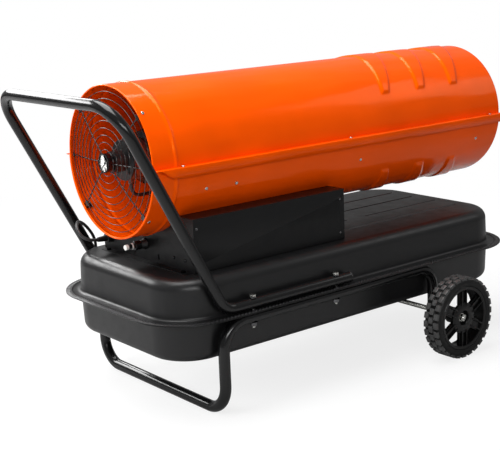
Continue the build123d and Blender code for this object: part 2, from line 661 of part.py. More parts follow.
def with_ribs(shell, upper):
    for rib in RIBS:
        start, end = BARREL_LENGTH - rib[0] - 2 * BEYOND, BARREL_LENGTH - rib[3] + 2 * BEYOND
        outer_ring = ring_x(start, end, BARREL_R + RIB_HEIGHT, BARREL_R - 0.6 * BARREL_SHEET)
        inner_ring = ring_x(start, end, BARREL_BORE_R + RIB_HEIGHT, BARREL_R - RIB_HEIGHT)
        shell = shell + (rib_block(rib, 0.0, upper) & outer_ring)
        shell = shell - (rib_block(rib, -1.6 * BARREL_SHEET, upper) & inner_ring)
    return shell


def lip_face(low):
    """Side view of the return lip: cut back to nothing towards the intake in an S-curve."""
    top = AXIS_Z + BARREL_SHEET
    start, full = at(8), at(50)
    with BuildSketch(Plane.XZ) as lip:
        with BuildLine():
            curve = Spline((start, AXIS_Z), (full, low), tangents=((1, -0.2), (1, -0.15)))
            Polyline(curve @ 1, (at(BARREL_LENGTH), low), (at(BARREL_LENGTH), top), (start, top), curve @ 0)
        make_face()
    return lip.sketch


def ledge(upper, side):
    """Seam ledge: the upper one carries a return lip, the lower one is a plain flange."""
    reach = BARREL_R + LEDGE_WIDTH
    start, end = at(0), at(BARREL_LENGTH)
    if not upper:
        edge = reach - 2.5 * BARREL_SHEET
        return bar((start, side * BARREL_BORE_R, AXIS_Z - BARREL_SHEET), (end, side * edge, AXIS_Z))
    strip = bar((start, side * BARREL_BORE_R, AXIS_Z), (end, side * reach, AXIS_Z + BARREL_SHEET))
    back = reach if side > 0 else BARREL_SHEET - reach
    lip = Pos(0, back, 0) * extrude(lip_face(AXIS_Z + BARREL_SHEET - LIP_HEIGHT), BARREL_SHEET)
    return strip + lip


def make_barrel():
    profile = barrel_profile()
    seam_y = BARREL_R + LEDGE_WIDTH / 2
    for name, upper in (("upper_shell", True), ("lower_shell", False)):
        shell = with_ribs(revolve_half(profile, upper), upper)
        for side in SIDES:
            shell = shell + ledge(upper, side)
            for x in SEAM_SCREWS:
                shell = shell - upright(at(x), side * seam_y, AXIS_Z - BEYOND, AXIS_Z + BEYOND, SCREW_R)
        holes = [(GUARD_SCREW_FROM_RIM, angle) for angle in GUARD_ANGLES]
        if not upper:
            holes += [(x, angle) for x in MOTOR_SCREWS + CHAMBER_SCREWS for angle in SIDE_ANGLES]
            for x, y in SHELL_HOLES:
                shell = shell - upright(at(x), y, BARREL_BOTTOM_Z - BEYOND, BARREL_BOTTOM_Z + BEYOND,
                                        SHELL_HOLE_R)
        for x, angle in holes:
            shell = shell - radial_hole(x, angle)
        keep(name, shell)


def radial_screw(distance, angle):
    y, z = radial(angle, BARREL_R)
    return round_screw((at(distance), y, z), (0, y / BARREL_R, (z - AXIS_Z) / BARREL_R))


def make_barrel_screws():
    seam_y, seam_z = BARREL_R + LEDGE_WIDTH / 2, AXIS_Z + BARREL_SHEET
    seam = [round_screw((at(x), side * seam_y, seam_z), (0, 0, 1)) for side in SIDES for x in SEAM_SCREWS]
    sides = [radial_screw(x, angle) for x in MOTOR_SCREWS + CHAMBER_SCREWS for angle in SIDE_ANGLES]
    guard = [radial_screw(GUARD_SCREW_FROM_RIM, angle) for angle in GUARD_ANGLES]
    keep("barrel_screws", Compound(seam + sides + guard))


# ================================================================ fan guard
RING_COUNT = 9
RING_FIRST = 29.0
RING_LAST = BARREL_R - 15.0
RING_PITCH = (RING_LAST - RING_FIRST) / (RING_COUNT - 1)
WIRE_R = 1.3
SPOKE_R = 1.6
GUARD_PLACE = 4.0            # last ring behind the rim
GUARD_BULGE = 12.0
SPOKE_ANGLES = GUARD_ANGLES + (0.0, 180.0)
CLIP_HALF = 6.0
CLIP_THICK = 1.7
CLIP_LENGTH = 20.0


def guard_x(radius):
    """The guard bulges out of the intake by GUARD_BULGE at its middle."""
    return at(GUARD_PLACE) - GUARD_BULGE * (1 - (radius / RING_LAST) ** 2)


def guard_clip():
    """Clip from the last ring to the inside of the barrel, made upright."""
    seat = BARREL_BORE_R - SHEET_GAP
    front = at(GUARD_PLACE - 0.2)
    tab = bar((front, -CLIP_HALF, RING_LAST - 3), (front + CLIP_THICK, CLIP_HALF, seat))
    leg = bar((front, -CLIP_HALF, seat - CLIP_THICK), (at(CLIP_LENGTH), CLIP_HALF, seat))
    hole = upright(at(GUARD_SCREW_FROM_RIM), 0, seat - BEYOND, seat + BEYOND, SCREW_R)
    bound = disc_x(0, CLIP_LENGTH + 2, BARREL_BORE_R - SEAT_GAP, 0, 0)
    return ((tab + leg) & bound) - hole


def make_guard():
    axis = Axis((0, 0, AXIS_Z), (1, 0, 0))
    guard = None
    for k in range(RING_COUNT):
        r = RING_FIRST + RING_PITCH * k
        section = Pos(guard_x(r), r) * RegularPolygon(WIRE_R, 6)
        ring = revolve(Pos(0, 0, AXIS_Z) * section, axis=axis)
        guard = ring if guard is None else guard + ring
    knots = 5
    for angle in SPOKE_ANGLES:
        start, end = RING_FIRST - 1, RING_LAST + 0.6
        radii = [start + (end - start) * k / (knots - 1) for k in range(knots)]
        path = Spline(*[Vector(guard_x(r) + 2.2, *radial(angle, r)) for r in radii])
        section = Plane(origin=path @ 0, z_dir=path % 0) * RegularPolygon(SPOKE_R, 6)
        guard = guard + sweep(section, path=path)
    for angle in GUARD_ANGLES:
        guard = guard + round_the_axis(guard_clip(), angle)
    keep("fan_guard", guard)


# ================================================================ fan, motor and pump
FAN_START = 212.0
FAN_LENGTH = 46.0
FAN_FRONT = FAN_START - 10.0     # front of the blades' sweep
FAN_BACK = FAN_START + 70.0
FAN_BLADES = 5
FAN_HUB_R = 29.0
HUB_TURN = -85.0
SHAFT_R = 6.0
PUMP_START = 34.0
PUMP_BACK = 68.0
PUMP_R = 45.0
PUMP_ROTOR = (50.1, 67.9)
PUMP_ROTOR_R = 24.0
VANES = 4
VANE_SLOT = (20.0, 2.5, 14.0)
VANE = (17.6, 2.3, 10.0)
VANE_R = 17.5                # from the axis to the middle of each vane
MOTOR_START = 84.0
MOTOR_END = 192.0
MOTOR_PLATE = 6.0            # plate between motor and pump
MOTOR_NOSE = (8.0, 40.0)     # length and radius of the boss behind the motor
FIN_INSET = 12.0             # bare length at both ends of the fins
FIN_THICK = 2.5
FIN_HEIGHT = 4.0
FIN_STEP = 15
FIN_FREE = 40                # no fins this many degrees from the shelf


def blade():
    """One wide pitched blade along +Z."""
    root = Plane(origin=(0, 0, 24), z_dir=(0, 0, 1)) * Rot(0, 0, 42) * Rectangle(2.6, 40)
    tip = Plane(origin=(0, 0, FAN_TIP_R + 4), z_dir=(0, 0, 1)) * Rot(0, 0, 62) * Rectangle(2.0, 88)
    return loft([root, tip])


def make_fan():
    fan = disc_x(FAN_START, FAN_START + FAN_LENGTH, FAN_HUB_R)
    swept = disc_x(FAN_FRONT, FAN_BACK, FAN_TIP_R)
    for k in range(FAN_BLADES):
        turned = Pos(at(FAN_START + 25), 0, AXIS_Z) * Rot(HUB_TURN + k * 360 / FAN_BLADES, 0, 0) * blade()
        fan = fan + (turned & swept)
    keep("fan", fan - disc_x(FAN_FRONT - BEYOND, FAN_BACK + BEYOND, SHAFT_R))
    keep("motor_shaft", disc_x(PUMP_START + 16, FAN_START + FAN_LENGTH + 4, SHAFT_R))


def make_pump_rotor():
    """Carbon rotor of the air pump, with its sliding vanes."""
    start, end = PUMP_ROTOR
    middle = (start + end) / 2
    rotor = ring_x(start, end, PUMP_ROTOR_R, SHAFT_R)
    vanes = []
    for k in range(VANES):
        turned = Pos(at(middle), 0, AXIS_Z) * Rot(90 * k, 0, 0)
        slot_r = PUMP_ROTOR_R + 2 - VANE_SLOT[2] / 2
        rotor = rotor - turned * Pos(0, 0, slot_r) * Box(*VANE_SLOT)
        vanes.append(turned * Pos(0, 0, VANE_R) * Box(*VANE))
    keep("pump_rotor", Compound([rotor] + vanes))


def shaft_bore():
    return disc_x(0, FAN_BACK, SHAFT_R + RUNNING_GAP)


def make_motor():
    body = disc_x(MOTOR_START, MOTOR_END, MOTOR_R) + disc_x(MOTOR_START - MOTOR_PLATE, MOTOR_START, PUMP_R)
    body = body + disc_x(MOTOR_END, MOTOR_END + MOTOR_NOSE[0], MOTOR_NOSE[1])
    fin = bar((at(MOTOR_START + FIN_INSET), -FIN_THICK / 2, MOTOR_R - FIN_HEIGHT / 2),
              (at(MOTOR_END - FIN_INSET), FIN_THICK / 2, MOTOR_R + FIN_HEIGHT))
    for turn in range(0, 360, FIN_STEP):
        if abs(turn - 180) > FIN_FREE:
            body = body + Pos(0, 0, AXIS_Z) * Rot(turn, 0, 0) * fin
    keep("motor", body - shaft_bore())


PUMP_FACE = PUMP_START + 4.0
PUMP_OUTLET = (58.0, 8.0)    # distance behind the rim, y
PUMP_OUTLET_DROP = 56.0


def make_pump():
    """Vane pump in front of the motor, with the pressure gauge's long boss on its cover."""
    chamber = disc_x(PUMP_FACE - 1, PUMP_BACK, PUMP_ROTOR_R + 3, 0, AXIS_Z + 1.5)
    housing = disc_x(PUMP_FACE, MOTOR_START - MOTOR_PLATE, PUMP_R) - chamber
    x, y = at(PUMP_OUTLET[0]), PUMP_OUTLET[1]
    keep("pump_body", housing + upright(x, y, AXIS_Z - PUMP_OUTLET_DROP, AXIS_Z - 40, 6.5) - shaft_bore())
    boss_start = 3.0
    cover = disc_x(PUMP_START, PUMP_FACE, PUMP_R) + disc_x(boss_start, PUMP_START, GAUGE_R + 2.5)
    cover = cover - disc_x(boss_start + 3, PUMP_START - 4, GAUGE_R - 2) - disc_x(0, boss_start + 4, 5)
    heads = [disc_x(PUMP_START - 3.5, PUMP_START, 4, *radial(45 + 90 * k, PUMP_R - 10)) for k in range(4)]
    keep("pump_cover", cover + heads)


SHELF_Z = AXIS_Z - MOTOR_R
SHELF = (126.0, 236.0)
SHELF_SHEET = 2.0


def make_motor_bracket():
    """Shelf across the lower shell that carries the motor, flanges screwed to the barrel."""
    inner = BARREL_BORE_R
    start, end = SHELF
    shelf = bar((at(start), -BARREL_R, SHELF_Z - SHELF_SHEET), (at(end), BARREL_R, SHELF_Z))
    shelf = shelf & disc_x(start, end, inner)
    flanges = ring_x(start, end, inner, inner - SHELF_SHEET)
    for side in SIDES:
        window = bar((at(start), side * 60, SHELF_Z - 8), (at(end), side * BARREL_R, SHELF_Z + 16))
        shelf = shelf + (flanges & window)
    for x in MOTOR_SCREWS:
        for angle in SIDE_ANGLES:
            shelf = shelf - radial_hole(x, angle)
    keep("motor_bracket", shelf - disc_x(FAN_FRONT - 6, FAN_BACK + BEYOND, FAN_TIP_R + 5))


def make_gauge():
    face, back = -15.0, 3.0
    glass_r = GAUGE_R - 1.8
    case = disc_x(face, back, GAUGE_R) - disc_x(face - 1, face + 7, glass_r)
    case = case + disc_x(back, back + 3, 5) + disc_x(face + 7, face + 10, 2.2)
    keep("gauge_case", case + disc_x(face + 5.4, face + 7, 1.4))
    keep("gauge_lens", disc_x(face + 0.2, face + 1.6, glass_r))
    plane = Plane(origin=(at(face + 4.8), 0, AXIS_Z), x_dir=(0, 1, 0), z_dir=(-1, 0, 0))
    tip = GAUGE_R - 5.5
    hand = make_face(Polyline((-1.6, -5), (1.6, -5), (0.4, tip), (-0.4, tip), close=True))
    keep("gauge_needle", plane * extrude(Rot(0, 0, -45) * hand, 0.8) + disc_x(face + 3.4, face + 4.8, 2.4))


# ================================================================ burner and combustion chamber
CONE_START = 315.0
CONE_R = 62.0
CHAMBER_START = 345.0
CHAMBER_END = BARREL_LENGTH - 87.0
CHAMBER_WALL = 1.2
HOOPS = 3
HOOP = 8.0
DISH_R = CHAMBER_R - 20.0
DISH_WALL = 1.4
DISH_GAP = 24.0


def make_chamber():
    start, end, r = CHAMBER_START, CHAMBER_END, CHAMBER_R
    wall = ring_x(start, end, r, r - CHAMBER_WALL)
    for k in range(HOOPS):
        middle = start + (end - start) * (k + 0.73) / (HOOPS + 0.6)
        wall = wall + ring_x(middle, middle + HOOP, r + 3, r - CHAMBER_WALL / 2)
    x0, x1 = at(CONE_START), at(start)
    front = make_face(Polyline((x0, CONE_R), (x1, r), (x1, r - DISH_WALL), (x0 + DISH_WALL, CONE_R - 0.6),
                               (x0 + DISH_WALL, CONE_R), close=True))
    cone = revolve(Pos(0, 0, AXIS_Z) * front, axis=Axis((0, 0, AXIS_Z), (1, 0, 0)))
    keep("combustion_chamber", wall + cone + ring_x(end - CHAMBER_WALL, end, r, r - 32))
    dish = disc_x(end + DISH_GAP, end + DISH_GAP + 2, DISH_R)
    dish = dish + ring_x(end + DISH_GAP - 10, end + DISH_GAP + 1, DISH_R, DISH_R - DISH_WALL)
    for k in range(3):
        dish = dish + disc_x(end, end + DISH_GAP + 1, 3.0, *radial(30 + 120 * k, DISH_R - 7))
    keep("flame_baffle", dish)


def chamber_strap(distance):
    """Strap between chamber and barrel, made upright and set back from its screw."""
    inner, outer = CHAMBER_R, BARREL_BORE_R
    half, thick = 11.0, 2.4
    x = at(distance)
    web = bar((x - 1, -half, inner + 1), (x + 1, half, outer - 1))
    foot = bar((x - 1, -half, outer - thick), (x + 13, half, outer + 3))
    foot = foot & disc_x(distance - BEYOND, distance + 2 * BEYOND, outer - SEAT_GAP, 0, 0)
    toe = bar((x - 13, -half, inner - 3), (x + 1, half, inner + thick + 0.2))
    toe = toe - disc_x(distance - 2 * BEYOND, distance + BEYOND, inner + SEAT_GAP, 0, 0)
    strap = Pos(-6, 0, 0) * (web + foot + toe)
    if distance > CHAMBER_END:
        strap = strap + bar((x - 24, -half, inner + SEAT_GAP), (x - 18, half, inner + thick + 0.2))
    return strap - upright(x, 0, outer - 2 * BEYOND, outer + 2 * BEYOND, SCREW_R)


def make_chamber_brackets():
    straps = [round_the_axis(chamber_strap(x), angle) for x in CHAMBER_SCREWS for angle in SIDE_ANGLES]
    keep("chamber_brackets", Compound(straps))


NOZZLE_START = 288.0
NOZZLE_BLOCK = 24.0
NOZZLE_HALF = (17.0, 11.0)
ELECTRODE_Z = AXIS_Z + 14.6
SENSOR_OFFSET = 34.0
PLATE_R = 66.0
PLATE = 1.5


def make_burner():
    face = CONE_START
    plate = ring_x(face - PLATE, face, PLATE_R, 20)
    for k in range(12):
        plate = plate - Pos(at(face), 0, AXIS_Z) * Rot(30 * k, 0, 0) * Pos(0, 0, 44) * Box(10, 4, 24)
    keep("burner_head", plate + ring_x(face - PLATE, face + 26, 20, 18.6))
    end = NOZZLE_START + NOZZLE_BLOCK
    half_y, half_z = NOZZLE_HALF
    block = bar((at(NOZZLE_START), -half_y, AXIS_Z - half_z), (at(end), half_y, AXIS_Z + half_z))
    tip = disc_x(end, end + 24, 8) + disc_x(end + 24, end + 28, 4)
    keep("fuel_nozzle", block + tip - disc_x(end + 6, end + 30, 1.0))
    pair = []
    for y in (-5.0, 5.0):
        insulator = disc_x(NOZZLE_START + 2, end + 18, 3.0, y, ELECTRODE_Z)
        wire = rod((at(end + 16), y, ELECTRODE_Z), (at(end + 36), 0.4 * y, AXIS_Z + 6), 1.0)
        pair.append(insulator + wire)
    keep("spark_electrodes", Compound(pair))
    eye = (-SENSOR_OFFSET, AXIS_Z + SENSOR_OFFSET)
    keep("flame_sensor", disc_x(face - 23, face - PLATE, 7, *eye) + disc_x(face - 33, face - 23, 4, *eye))


# ================================================================ fuel, air and electrics
HOSE_R = 4.0
HOSE_LEVEL = TANK_TOP_Z + 33.0
FUEL_LEVEL = TANK_TOP_Z + 40.0
HOSE_BEND = 24.0


def make_lines():
    base = TANK_TOP_Z
    x, y = at(PICKUP[0]), PICKUP[1]
    pickup = upright(x, y, TANK_BOTTOM_Z + 12, base + 10, HOSE_R)
    pickup = pickup + upright(x, y, TANK_BOTTOM_Z + 4, TANK_BOTTOM_Z + 42, PICKUP_R - 1)
    pickup = pickup + upright(x, y, base - 8, base, PICKUP_R) + upright(x, y, base, base + 3, PICKUP_R + 5)
    block_z = AXIS_Z - NOZZLE_HALF[1]
    up_x, up_y = at(SHELL_HOLES[2][0]), SHELL_HOLES[2][1]
    hose = bent_tube([(x, y, base + 10), (x, y, FUEL_LEVEL), (up_x, up_y, FUEL_LEVEL), (up_x, up_y, block_z)],
                     [HOSE_BEND - 2, HOSE_BEND - 2], HOSE_R)
    keep("fuel_line", Compound([pickup, hose]))
    start_x, start_y = at(PUMP_OUTLET[0]), PUMP_OUTLET[1]
    (down, down_y), (up, up_y) = SHELL_HOLES[:2]
    top, under_shelf = AXIS_Z - PUMP_OUTLET_DROP, AXIS_Z - PUMP_OUTLET_DROP - 28
    route = [(start_x, start_y, top), (start_x, start_y, under_shelf), (at(down), down_y, under_shelf),
             (at(down), down_y, HOSE_LEVEL), (at(up), up_y, HOSE_LEVEL), (at(up), up_y, block_z)]
    air = bent_tube(route, [20, HOSE_BEND, HOSE_BEND, HOSE_BEND], HOSE_R)
    keep("air_hose", air)


TRANSFORMER = (BOX_END - 190.0, 30.0)      # near low corner: distance behind the rim, y
TRANSFORMER_SIZE = (100.0, 70.0, 55.0)
TRANSFORMER_R = 6.0
FOOT_REACH = 12.0                          # mounting plate beyond both ends
FOOT_SHEET = 3.0
BOARD = (BOX_START + 96.0, 40.0)           # near low corner: distance behind the rim, y
BOARD_SIZE = (110.0, 80.0, 1.6)
BOARD_POST = 12.0
POST_R = 3.0
POST_INSET = 6.0
RELAYS = 3
RELAY_SIZE = (20.0, 28.0, 16.4)
RELAY_PITCH = 30.0
RELAY_INSET = (16.0, 20.0)                 # first relay from the board's corner


def make_transformer():
    (start, y), (length, width, height) = TRANSFORMER, TRANSFORMER_SIZE
    low = TANK_TOP_Z + FOOT_SHEET
    block = bar((at(start), y, low), (at(start + length), y + width, low + height))
    foot = bar((at(start - FOOT_REACH), y, TANK_TOP_Z), (at(start + length + FOOT_REACH), y + width, low))
    keep("ignition_transformer", fillet(block.edges().filter_by(Axis.Z), TRANSFORMER_R) + foot)


def make_board():
    (start, y), (length, width, sheet) = BOARD, BOARD_SIZE
    low = TANK_TOP_Z + BOARD_POST
    top = low + sheet
    board = bar((at(start), y, low), (at(start + length), y + width, top))
    posts = [upright(at(px), py, TANK_TOP_Z, low, POST_R)
             for px in (start + POST_INSET, start + length - POST_INSET)
             for py in (y + POST_INSET, y + width - POST_INSET)]
    relays = []
    for k in range(RELAYS):
        x = start + RELAY_INSET[0] + k * RELAY_PITCH
        relay_y = y + RELAY_INSET[1]
        relays.append(bar((at(x), relay_y, top), (at(x + RELAY_SIZE[0]), relay_y + RELAY_SIZE[1],
                                                  top + RELAY_SIZE[2])))
    keep("control_board", board + posts + relays)


# ================================================================ cord
CORD_GLAND_END = 48.0
PLUG_R = 18.0
PLUG_LENGTH = 36.0
SLEEVE_LENGTH = 34.0
PIN_R = 2.4
PIN_LENGTH = 19.0
PIN_PITCH = 19.0
COIL_TURN_R = 42.0            # middle of the coil's turns
COIL_HALF = 2 * CORD_R        # two cords wide and two high
COIL_X = 395.0
COIL_OUTREACH = 92.5          # from the far rail to the coil's middle
# route from the gland to the coil: distance behind the rim, distance beyond the far rail, z
CORD_ROUTE = [(18.5, -90.5, 343.0), (6.0, -69.5, 367.0), (27.0, -38.5, 384.0), (63.0, -19.5, 361.0),
              (96.0, -2.5, 318.0), (110.0, 29.5, 264.0), (115.0, 48.5, 200.0), (132.0, 56.5, 140.0),
              (163.0, 61.5, 76.0), (213.0, 65.5, 24.0), (262.0, 66.5, CORD_R), (314.5, 60.5, CORD_R),
              (366.0, 50.5, CORD_R)]


def corner_radii(points):
    """Arc radius for each inner corner, as large as its two runs allow."""
    radii = []
    for before, here, after in zip(points, points[1:], points[2:]):
        into = Vector(*here) - Vector(*before)
        out = Vector(*after) - Vector(*here)
        turn = math.radians(into.get_angle(out))
        radii.append(0.45 * min(into.length, out.length) / math.tan(turn / 2))
    return radii


def make_cord():
    y, z = GLAND
    face, nut_start = BOX_START, BOX_START - 4.0
    gland = disc_x(nut_start, face, 1.5 * GLAND_R, y, z) + disc_x(face, face + 14, GLAND_R, y, z)
    outward = Plane(origin=(at(nut_start), y, z), z_dir=(-1, 0, 0))
    gland = gland + outward * extrude(RegularPolygon(1.5 * GLAND_R, 6), 9)
    gland = gland + outward * Pos(0, 0, 9) * extrude(Circle(2 * CORD_R), 23, taper=5)
    keep("cord_gland", gland - disc_x(CORD_GLAND_END - 1, face + 20, CORD_R, y, z))
    points = [(at(CORD_GLAND_END), y, z)] + [(at(px), RAIL_Y + py, pz) for px, py, pz in CORD_ROUTE]
    keep("power_cord", bent_tube(points, corner_radii(points), CORD_R))


def make_coil_and_plug():
    cx, cy = COIL_X, RAIL_Y + COIL_OUTREACH
    outer, inner = COIL_TURN_R + COIL_HALF, COIL_TURN_R - COIL_HALF
    keep("cord_coil", pipe(at(cx), cy, 0, 2 * COIL_HALF, outer, inner))
    # plug: sleeve beside the coil, body, two round pins, all pointing back to the intake
    y, z = cy + COIL_TURN_R, PLUG_R
    start = cx - math.sqrt(outer ** 2 - COIL_TURN_R ** 2) - 4.0
    body_end = start - SLEEVE_LENGTH
    body_start = body_end - PLUG_LENGTH
    sleeve = Plane(origin=(at(body_end), y, z), z_dir=(1, 0, 0)) * extrude(Circle(8), SLEEVE_LENGTH, taper=5)
    body = disc_x(body_start, body_end, PLUG_R, y, z)
    for side in SIDES:
        flat, over = y + side * (PLUG_R - 5), y + side * (PLUG_R + 5)
        body = body - bar((at(body_start - 10), flat, z - 30), (at(body_end + 4), over, z + 30))
    pins = [disc_x(body_start - PIN_LENGTH, body_start, PIN_R, y + side * PIN_PITCH / 2, z) for side in SIDES]
    keep("mains_plug", body + sleeve + pins)


def build():
    make_tank()
    make_filler()
    make_drain_plug()
    make_frame()
    make_handle()
    make_tube_plugs()
    make_rail_bolts()
    make_wheels()
    make_axle()
    make_box()
    make_box_screws()
    make_socket()
    make_switch()
    make_reset()
    make_barrel()
    make_barrel_screws()
    make_guard()
    make_fan()
    make_pump_rotor()
    make_motor()
    make_pump()
    make_motor_bracket()
    make_gauge()
    make_chamber()
    make_chamber_brackets()
    make_burner()
    make_lines()
    make_transformer()
    make_board()
    make_cord()
    make_coil_and_plug()


build()
for name, shape in parts.items():
    export_step(shape, "parts/" + name + ".step")
print(len(parts), "parts")
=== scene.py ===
# %% [markdown]
# # An oil-fired forced air heater
# The heater is an orange barrel on a black box, on a flat fuel tank, with a bent-tube handle, a front
# floor loop and two wheels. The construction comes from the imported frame: every piece here sits where
# the frame says, in metres, with +X from the fan intake to the hot outlet and the floor at z = 0.

# %% Load the frame
import json
import math

import bmesh
import bpy
from mathutils import Euler, Matrix, Vector

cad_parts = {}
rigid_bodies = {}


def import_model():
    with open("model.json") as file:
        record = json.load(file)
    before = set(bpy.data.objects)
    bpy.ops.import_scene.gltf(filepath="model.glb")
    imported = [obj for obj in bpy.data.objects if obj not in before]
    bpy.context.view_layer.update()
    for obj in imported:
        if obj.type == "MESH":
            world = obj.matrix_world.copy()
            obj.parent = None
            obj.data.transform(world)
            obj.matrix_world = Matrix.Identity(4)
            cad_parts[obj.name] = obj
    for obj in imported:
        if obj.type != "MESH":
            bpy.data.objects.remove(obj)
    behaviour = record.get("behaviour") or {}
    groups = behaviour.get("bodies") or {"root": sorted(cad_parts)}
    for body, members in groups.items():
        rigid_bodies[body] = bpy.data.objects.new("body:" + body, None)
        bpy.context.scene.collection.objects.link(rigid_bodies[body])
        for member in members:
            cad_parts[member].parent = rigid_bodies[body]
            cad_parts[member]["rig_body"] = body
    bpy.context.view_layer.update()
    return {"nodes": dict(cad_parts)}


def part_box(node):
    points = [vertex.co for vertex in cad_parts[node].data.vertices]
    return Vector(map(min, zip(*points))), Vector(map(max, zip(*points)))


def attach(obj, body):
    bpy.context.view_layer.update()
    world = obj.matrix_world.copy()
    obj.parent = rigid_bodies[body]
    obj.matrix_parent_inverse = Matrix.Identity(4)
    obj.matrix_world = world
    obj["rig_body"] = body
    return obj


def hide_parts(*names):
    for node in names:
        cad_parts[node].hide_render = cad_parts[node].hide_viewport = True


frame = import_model()
MM = 0.001


def corners(node):
    """Lowest and highest corner of a node."""
    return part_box(node)


def middle(node):
    """Middle of a node's box."""
    low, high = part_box(node)
    return (low + high) / 2


def add_object(name, data):
    """Object with this data, in the scene."""
    obj = bpy.data.objects.new(name, data)
    bpy.context.scene.collection.objects.link(obj)
    return obj


RIM_X = corners("upper_shell")[0].x
OUTLET_X = corners("upper_shell")[1].x
AXIS_Z = middle("gauge_case").z

# %% [markdown]
# ## Camera
# The photograph is taken from in front of the intake and above the handle with a long lens. The place,
# the two angles and the slight roll were solved from the outline of the barrel, the tank and the wheels.

# %% Camera
FOCAL_MM = 83.1
SENSOR_MM = 36.0
CAMERA_AT = (-1.7675, -2.1103, 0.957)
CAMERA_HEADING = math.radians(-38.4)
CAMERA_DIP = math.radians(12.87)
CAMERA_ROLL = math.radians(-2.27)

camera_data = bpy.data.cameras.new("camera")
camera_data.lens = FOCAL_MM
camera_data.sensor_width = SENSOR_MM
camera = add_object("camera", camera_data)
look = Euler((math.pi / 2 - CAMERA_DIP, 0, CAMERA_HEADING)).to_matrix()
look = look @ Matrix.Rotation(CAMERA_ROLL, 3, "Z")
camera.matrix_world = Matrix.Translation(CAMERA_AT) @ look.to_4x4()
bpy.context.scene.camera = camera

# %% [markdown]
# ## The mains lead
# The lead leaves its gland towards the intake, makes a small loop and drops behind the tank to the floor.
# A NURBS spline whose control points are the corners of the route gives one smooth curve. The length that
# the photograph hides is wound up behind the heater, and its turns are more points of the same spline.

# %% Cord: its route in mm behind the rim, across and up
CORD_R = 3.75 * MM
CORD_ROUTE = [(48.0, 151.0, 341.0), (18.5, 152.0, 343.0), (6.0, 173.0, 367.0), (27.0, 204.0, 384.0),
              (63.0, 223.0, 361.0), (96.0, 240.0, 318.0), (110.0, 272.0, 264.0), (115.0, 291.0, 200.0),
              (132.0, 299.0, 140.0), (163.0, 304.0, 76.0), (213.0, 308.0, 24.0), (262.0, 309.0, 3.75),
              (314.5, 303.0, 3.75)]
COIL_MIDDLE = (-0.080, 0.335)  # metres
COIL_R = 42.0
COIL_SPREAD = 3.9  # of the outer and the inner turn from COIL_R
COIL_START = -90.0  # degrees, as the step
COIL_STEP = 22.5
COIL_TURNS = 3.5
COIL_INWARD = (180, 250)  # degrees in which the lead changes from the outer to the inner turn
COIL_CLIMB = (140, 215)  # degrees in which it climbs on the first layer
COIL_REST = 1.02  # height of the lower layer's axis in radii of the lead
PLUG_APPROACH = (12.0, 3.0, -2.0)
PLUG_OVERLAP = 4.0


def smooth_step(value, start, end):
    """0 up to the start, 1 from the end on, and an S-curve between."""
    t = min(max((value - start) / (end - start), 0.0), 1.0)
    return t * t * (3 - 2 * t)


def coil_point(angle):
    """Control point of the coil at this angle in degrees: outer, inner, inner above, outer above."""
    turn = 360.0
    inward = smooth_step(angle, *COIL_INWARD)
    inward -= smooth_step(angle, COIL_INWARD[0] + 2 * turn, COIL_INWARD[1] + 2 * turn)
    lift = smooth_step(angle, COIL_CLIMB[0] + turn, COIL_CLIMB[1] + turn)
    radius = COIL_R + COIL_SPREAD * (1 - 2 * inward)
    radius = radius * MM / math.cos(math.radians(COIL_STEP / 2))
    around = math.radians(angle)
    x = COIL_MIDDLE[0] + radius * math.cos(around)
    y = COIL_MIDDLE[1] + radius * math.sin(around)
    return x, y, CORD_R * (COIL_REST + 2.0 * lift)


def nurbs_curve(name, points, radius):
    """Round lead along a NURBS spline with these control points."""
    data = bpy.data.curves.new(name, "CURVE")
    data.dimensions = "3D"
    data.bevel_depth = radius
    data.bevel_resolution = 5
    data.resolution_u = 8
    spline = data.splines.new("NURBS")
    spline.points.add(len(points) - 1)
    for place, point in zip(spline.points, points):
        place.co = (*point, 1.0)
    spline.order_u = 3
    spline.use_endpoint_u = True
    data.use_fill_caps = True
    return add_object(name, data)


cord_points = [(RIM_X + x * MM, y * MM, z * MM) for x, y, z in CORD_ROUTE]
for k in range(int(360 * COIL_TURNS / COIL_STEP) + 1):
    cord_points.append(coil_point(COIL_START + k * COIL_STEP))
plug_end = Vector((corners("mains_plug")[1].x, middle("mains_plug").y, middle("mains_plug").z))
cord_points.append(tuple(plug_end + Vector(PLUG_APPROACH) * MM))
cord_points.append(tuple(plug_end - Vector((PLUG_OVERLAP, 0, 0)) * MM))
power_lead = nurbs_curve("power_lead", cord_points, CORD_R)

# %% [markdown]
# ## Finishes
# Every finish is one Principled shader with noise that reads Object coordinates, so it stays on the piece
# from any side. Powder coat has a fine orange-peel bump, rolled sheet also has long shallow waves that
# bend the reflections, and plated steel has faint streaks in its roughness.

# %% Material helpers
COAT_ROUGHNESS = 0.08


def srgb(red, green, blue):
    """Linear colour of a screen colour given as 0 to 255."""
    def linear(value):
        value = value / 255.0
        return value / 12.92 if value <= 0.04045 else ((value + 0.055) / 1.055) ** 2.4
    return (linear(red), linear(green), linear(blue), 1.0)


def set_sockets(node, values):
    """Constants on the sockets of a node."""
    for socket, value in values.items():
        node.inputs[socket].default_value = value


def new_node(tree, kind, operation=None, **values):
    """Shader node of this kind, with its operation and constants."""
    node = tree.nodes.new("ShaderNode" + kind)
    if operation:
        node.operation = operation
    set_sockets(node, values)
    return node


def join(tree, *pairs):
    """Link each output to its input."""
    for output, socket in pairs:
        tree.links.new(output, socket)


def shader_of(material):
    return material.node_tree.nodes["Principled BSDF"]


def principled(name, colour, roughness, metallic=0.0, coat=0.0, specular=0.5):
    """Material whose shader has these constants."""
    material = bpy.data.materials.new(name)
    material.use_nodes = True
    set_sockets(shader_of(material), {
        "Base Color": colour, "Roughness": roughness, "Metallic": metallic, "Specular IOR Level": specular,
        "Coat Weight": coat, "Coat Roughness": COAT_ROUGHNESS})
    return material


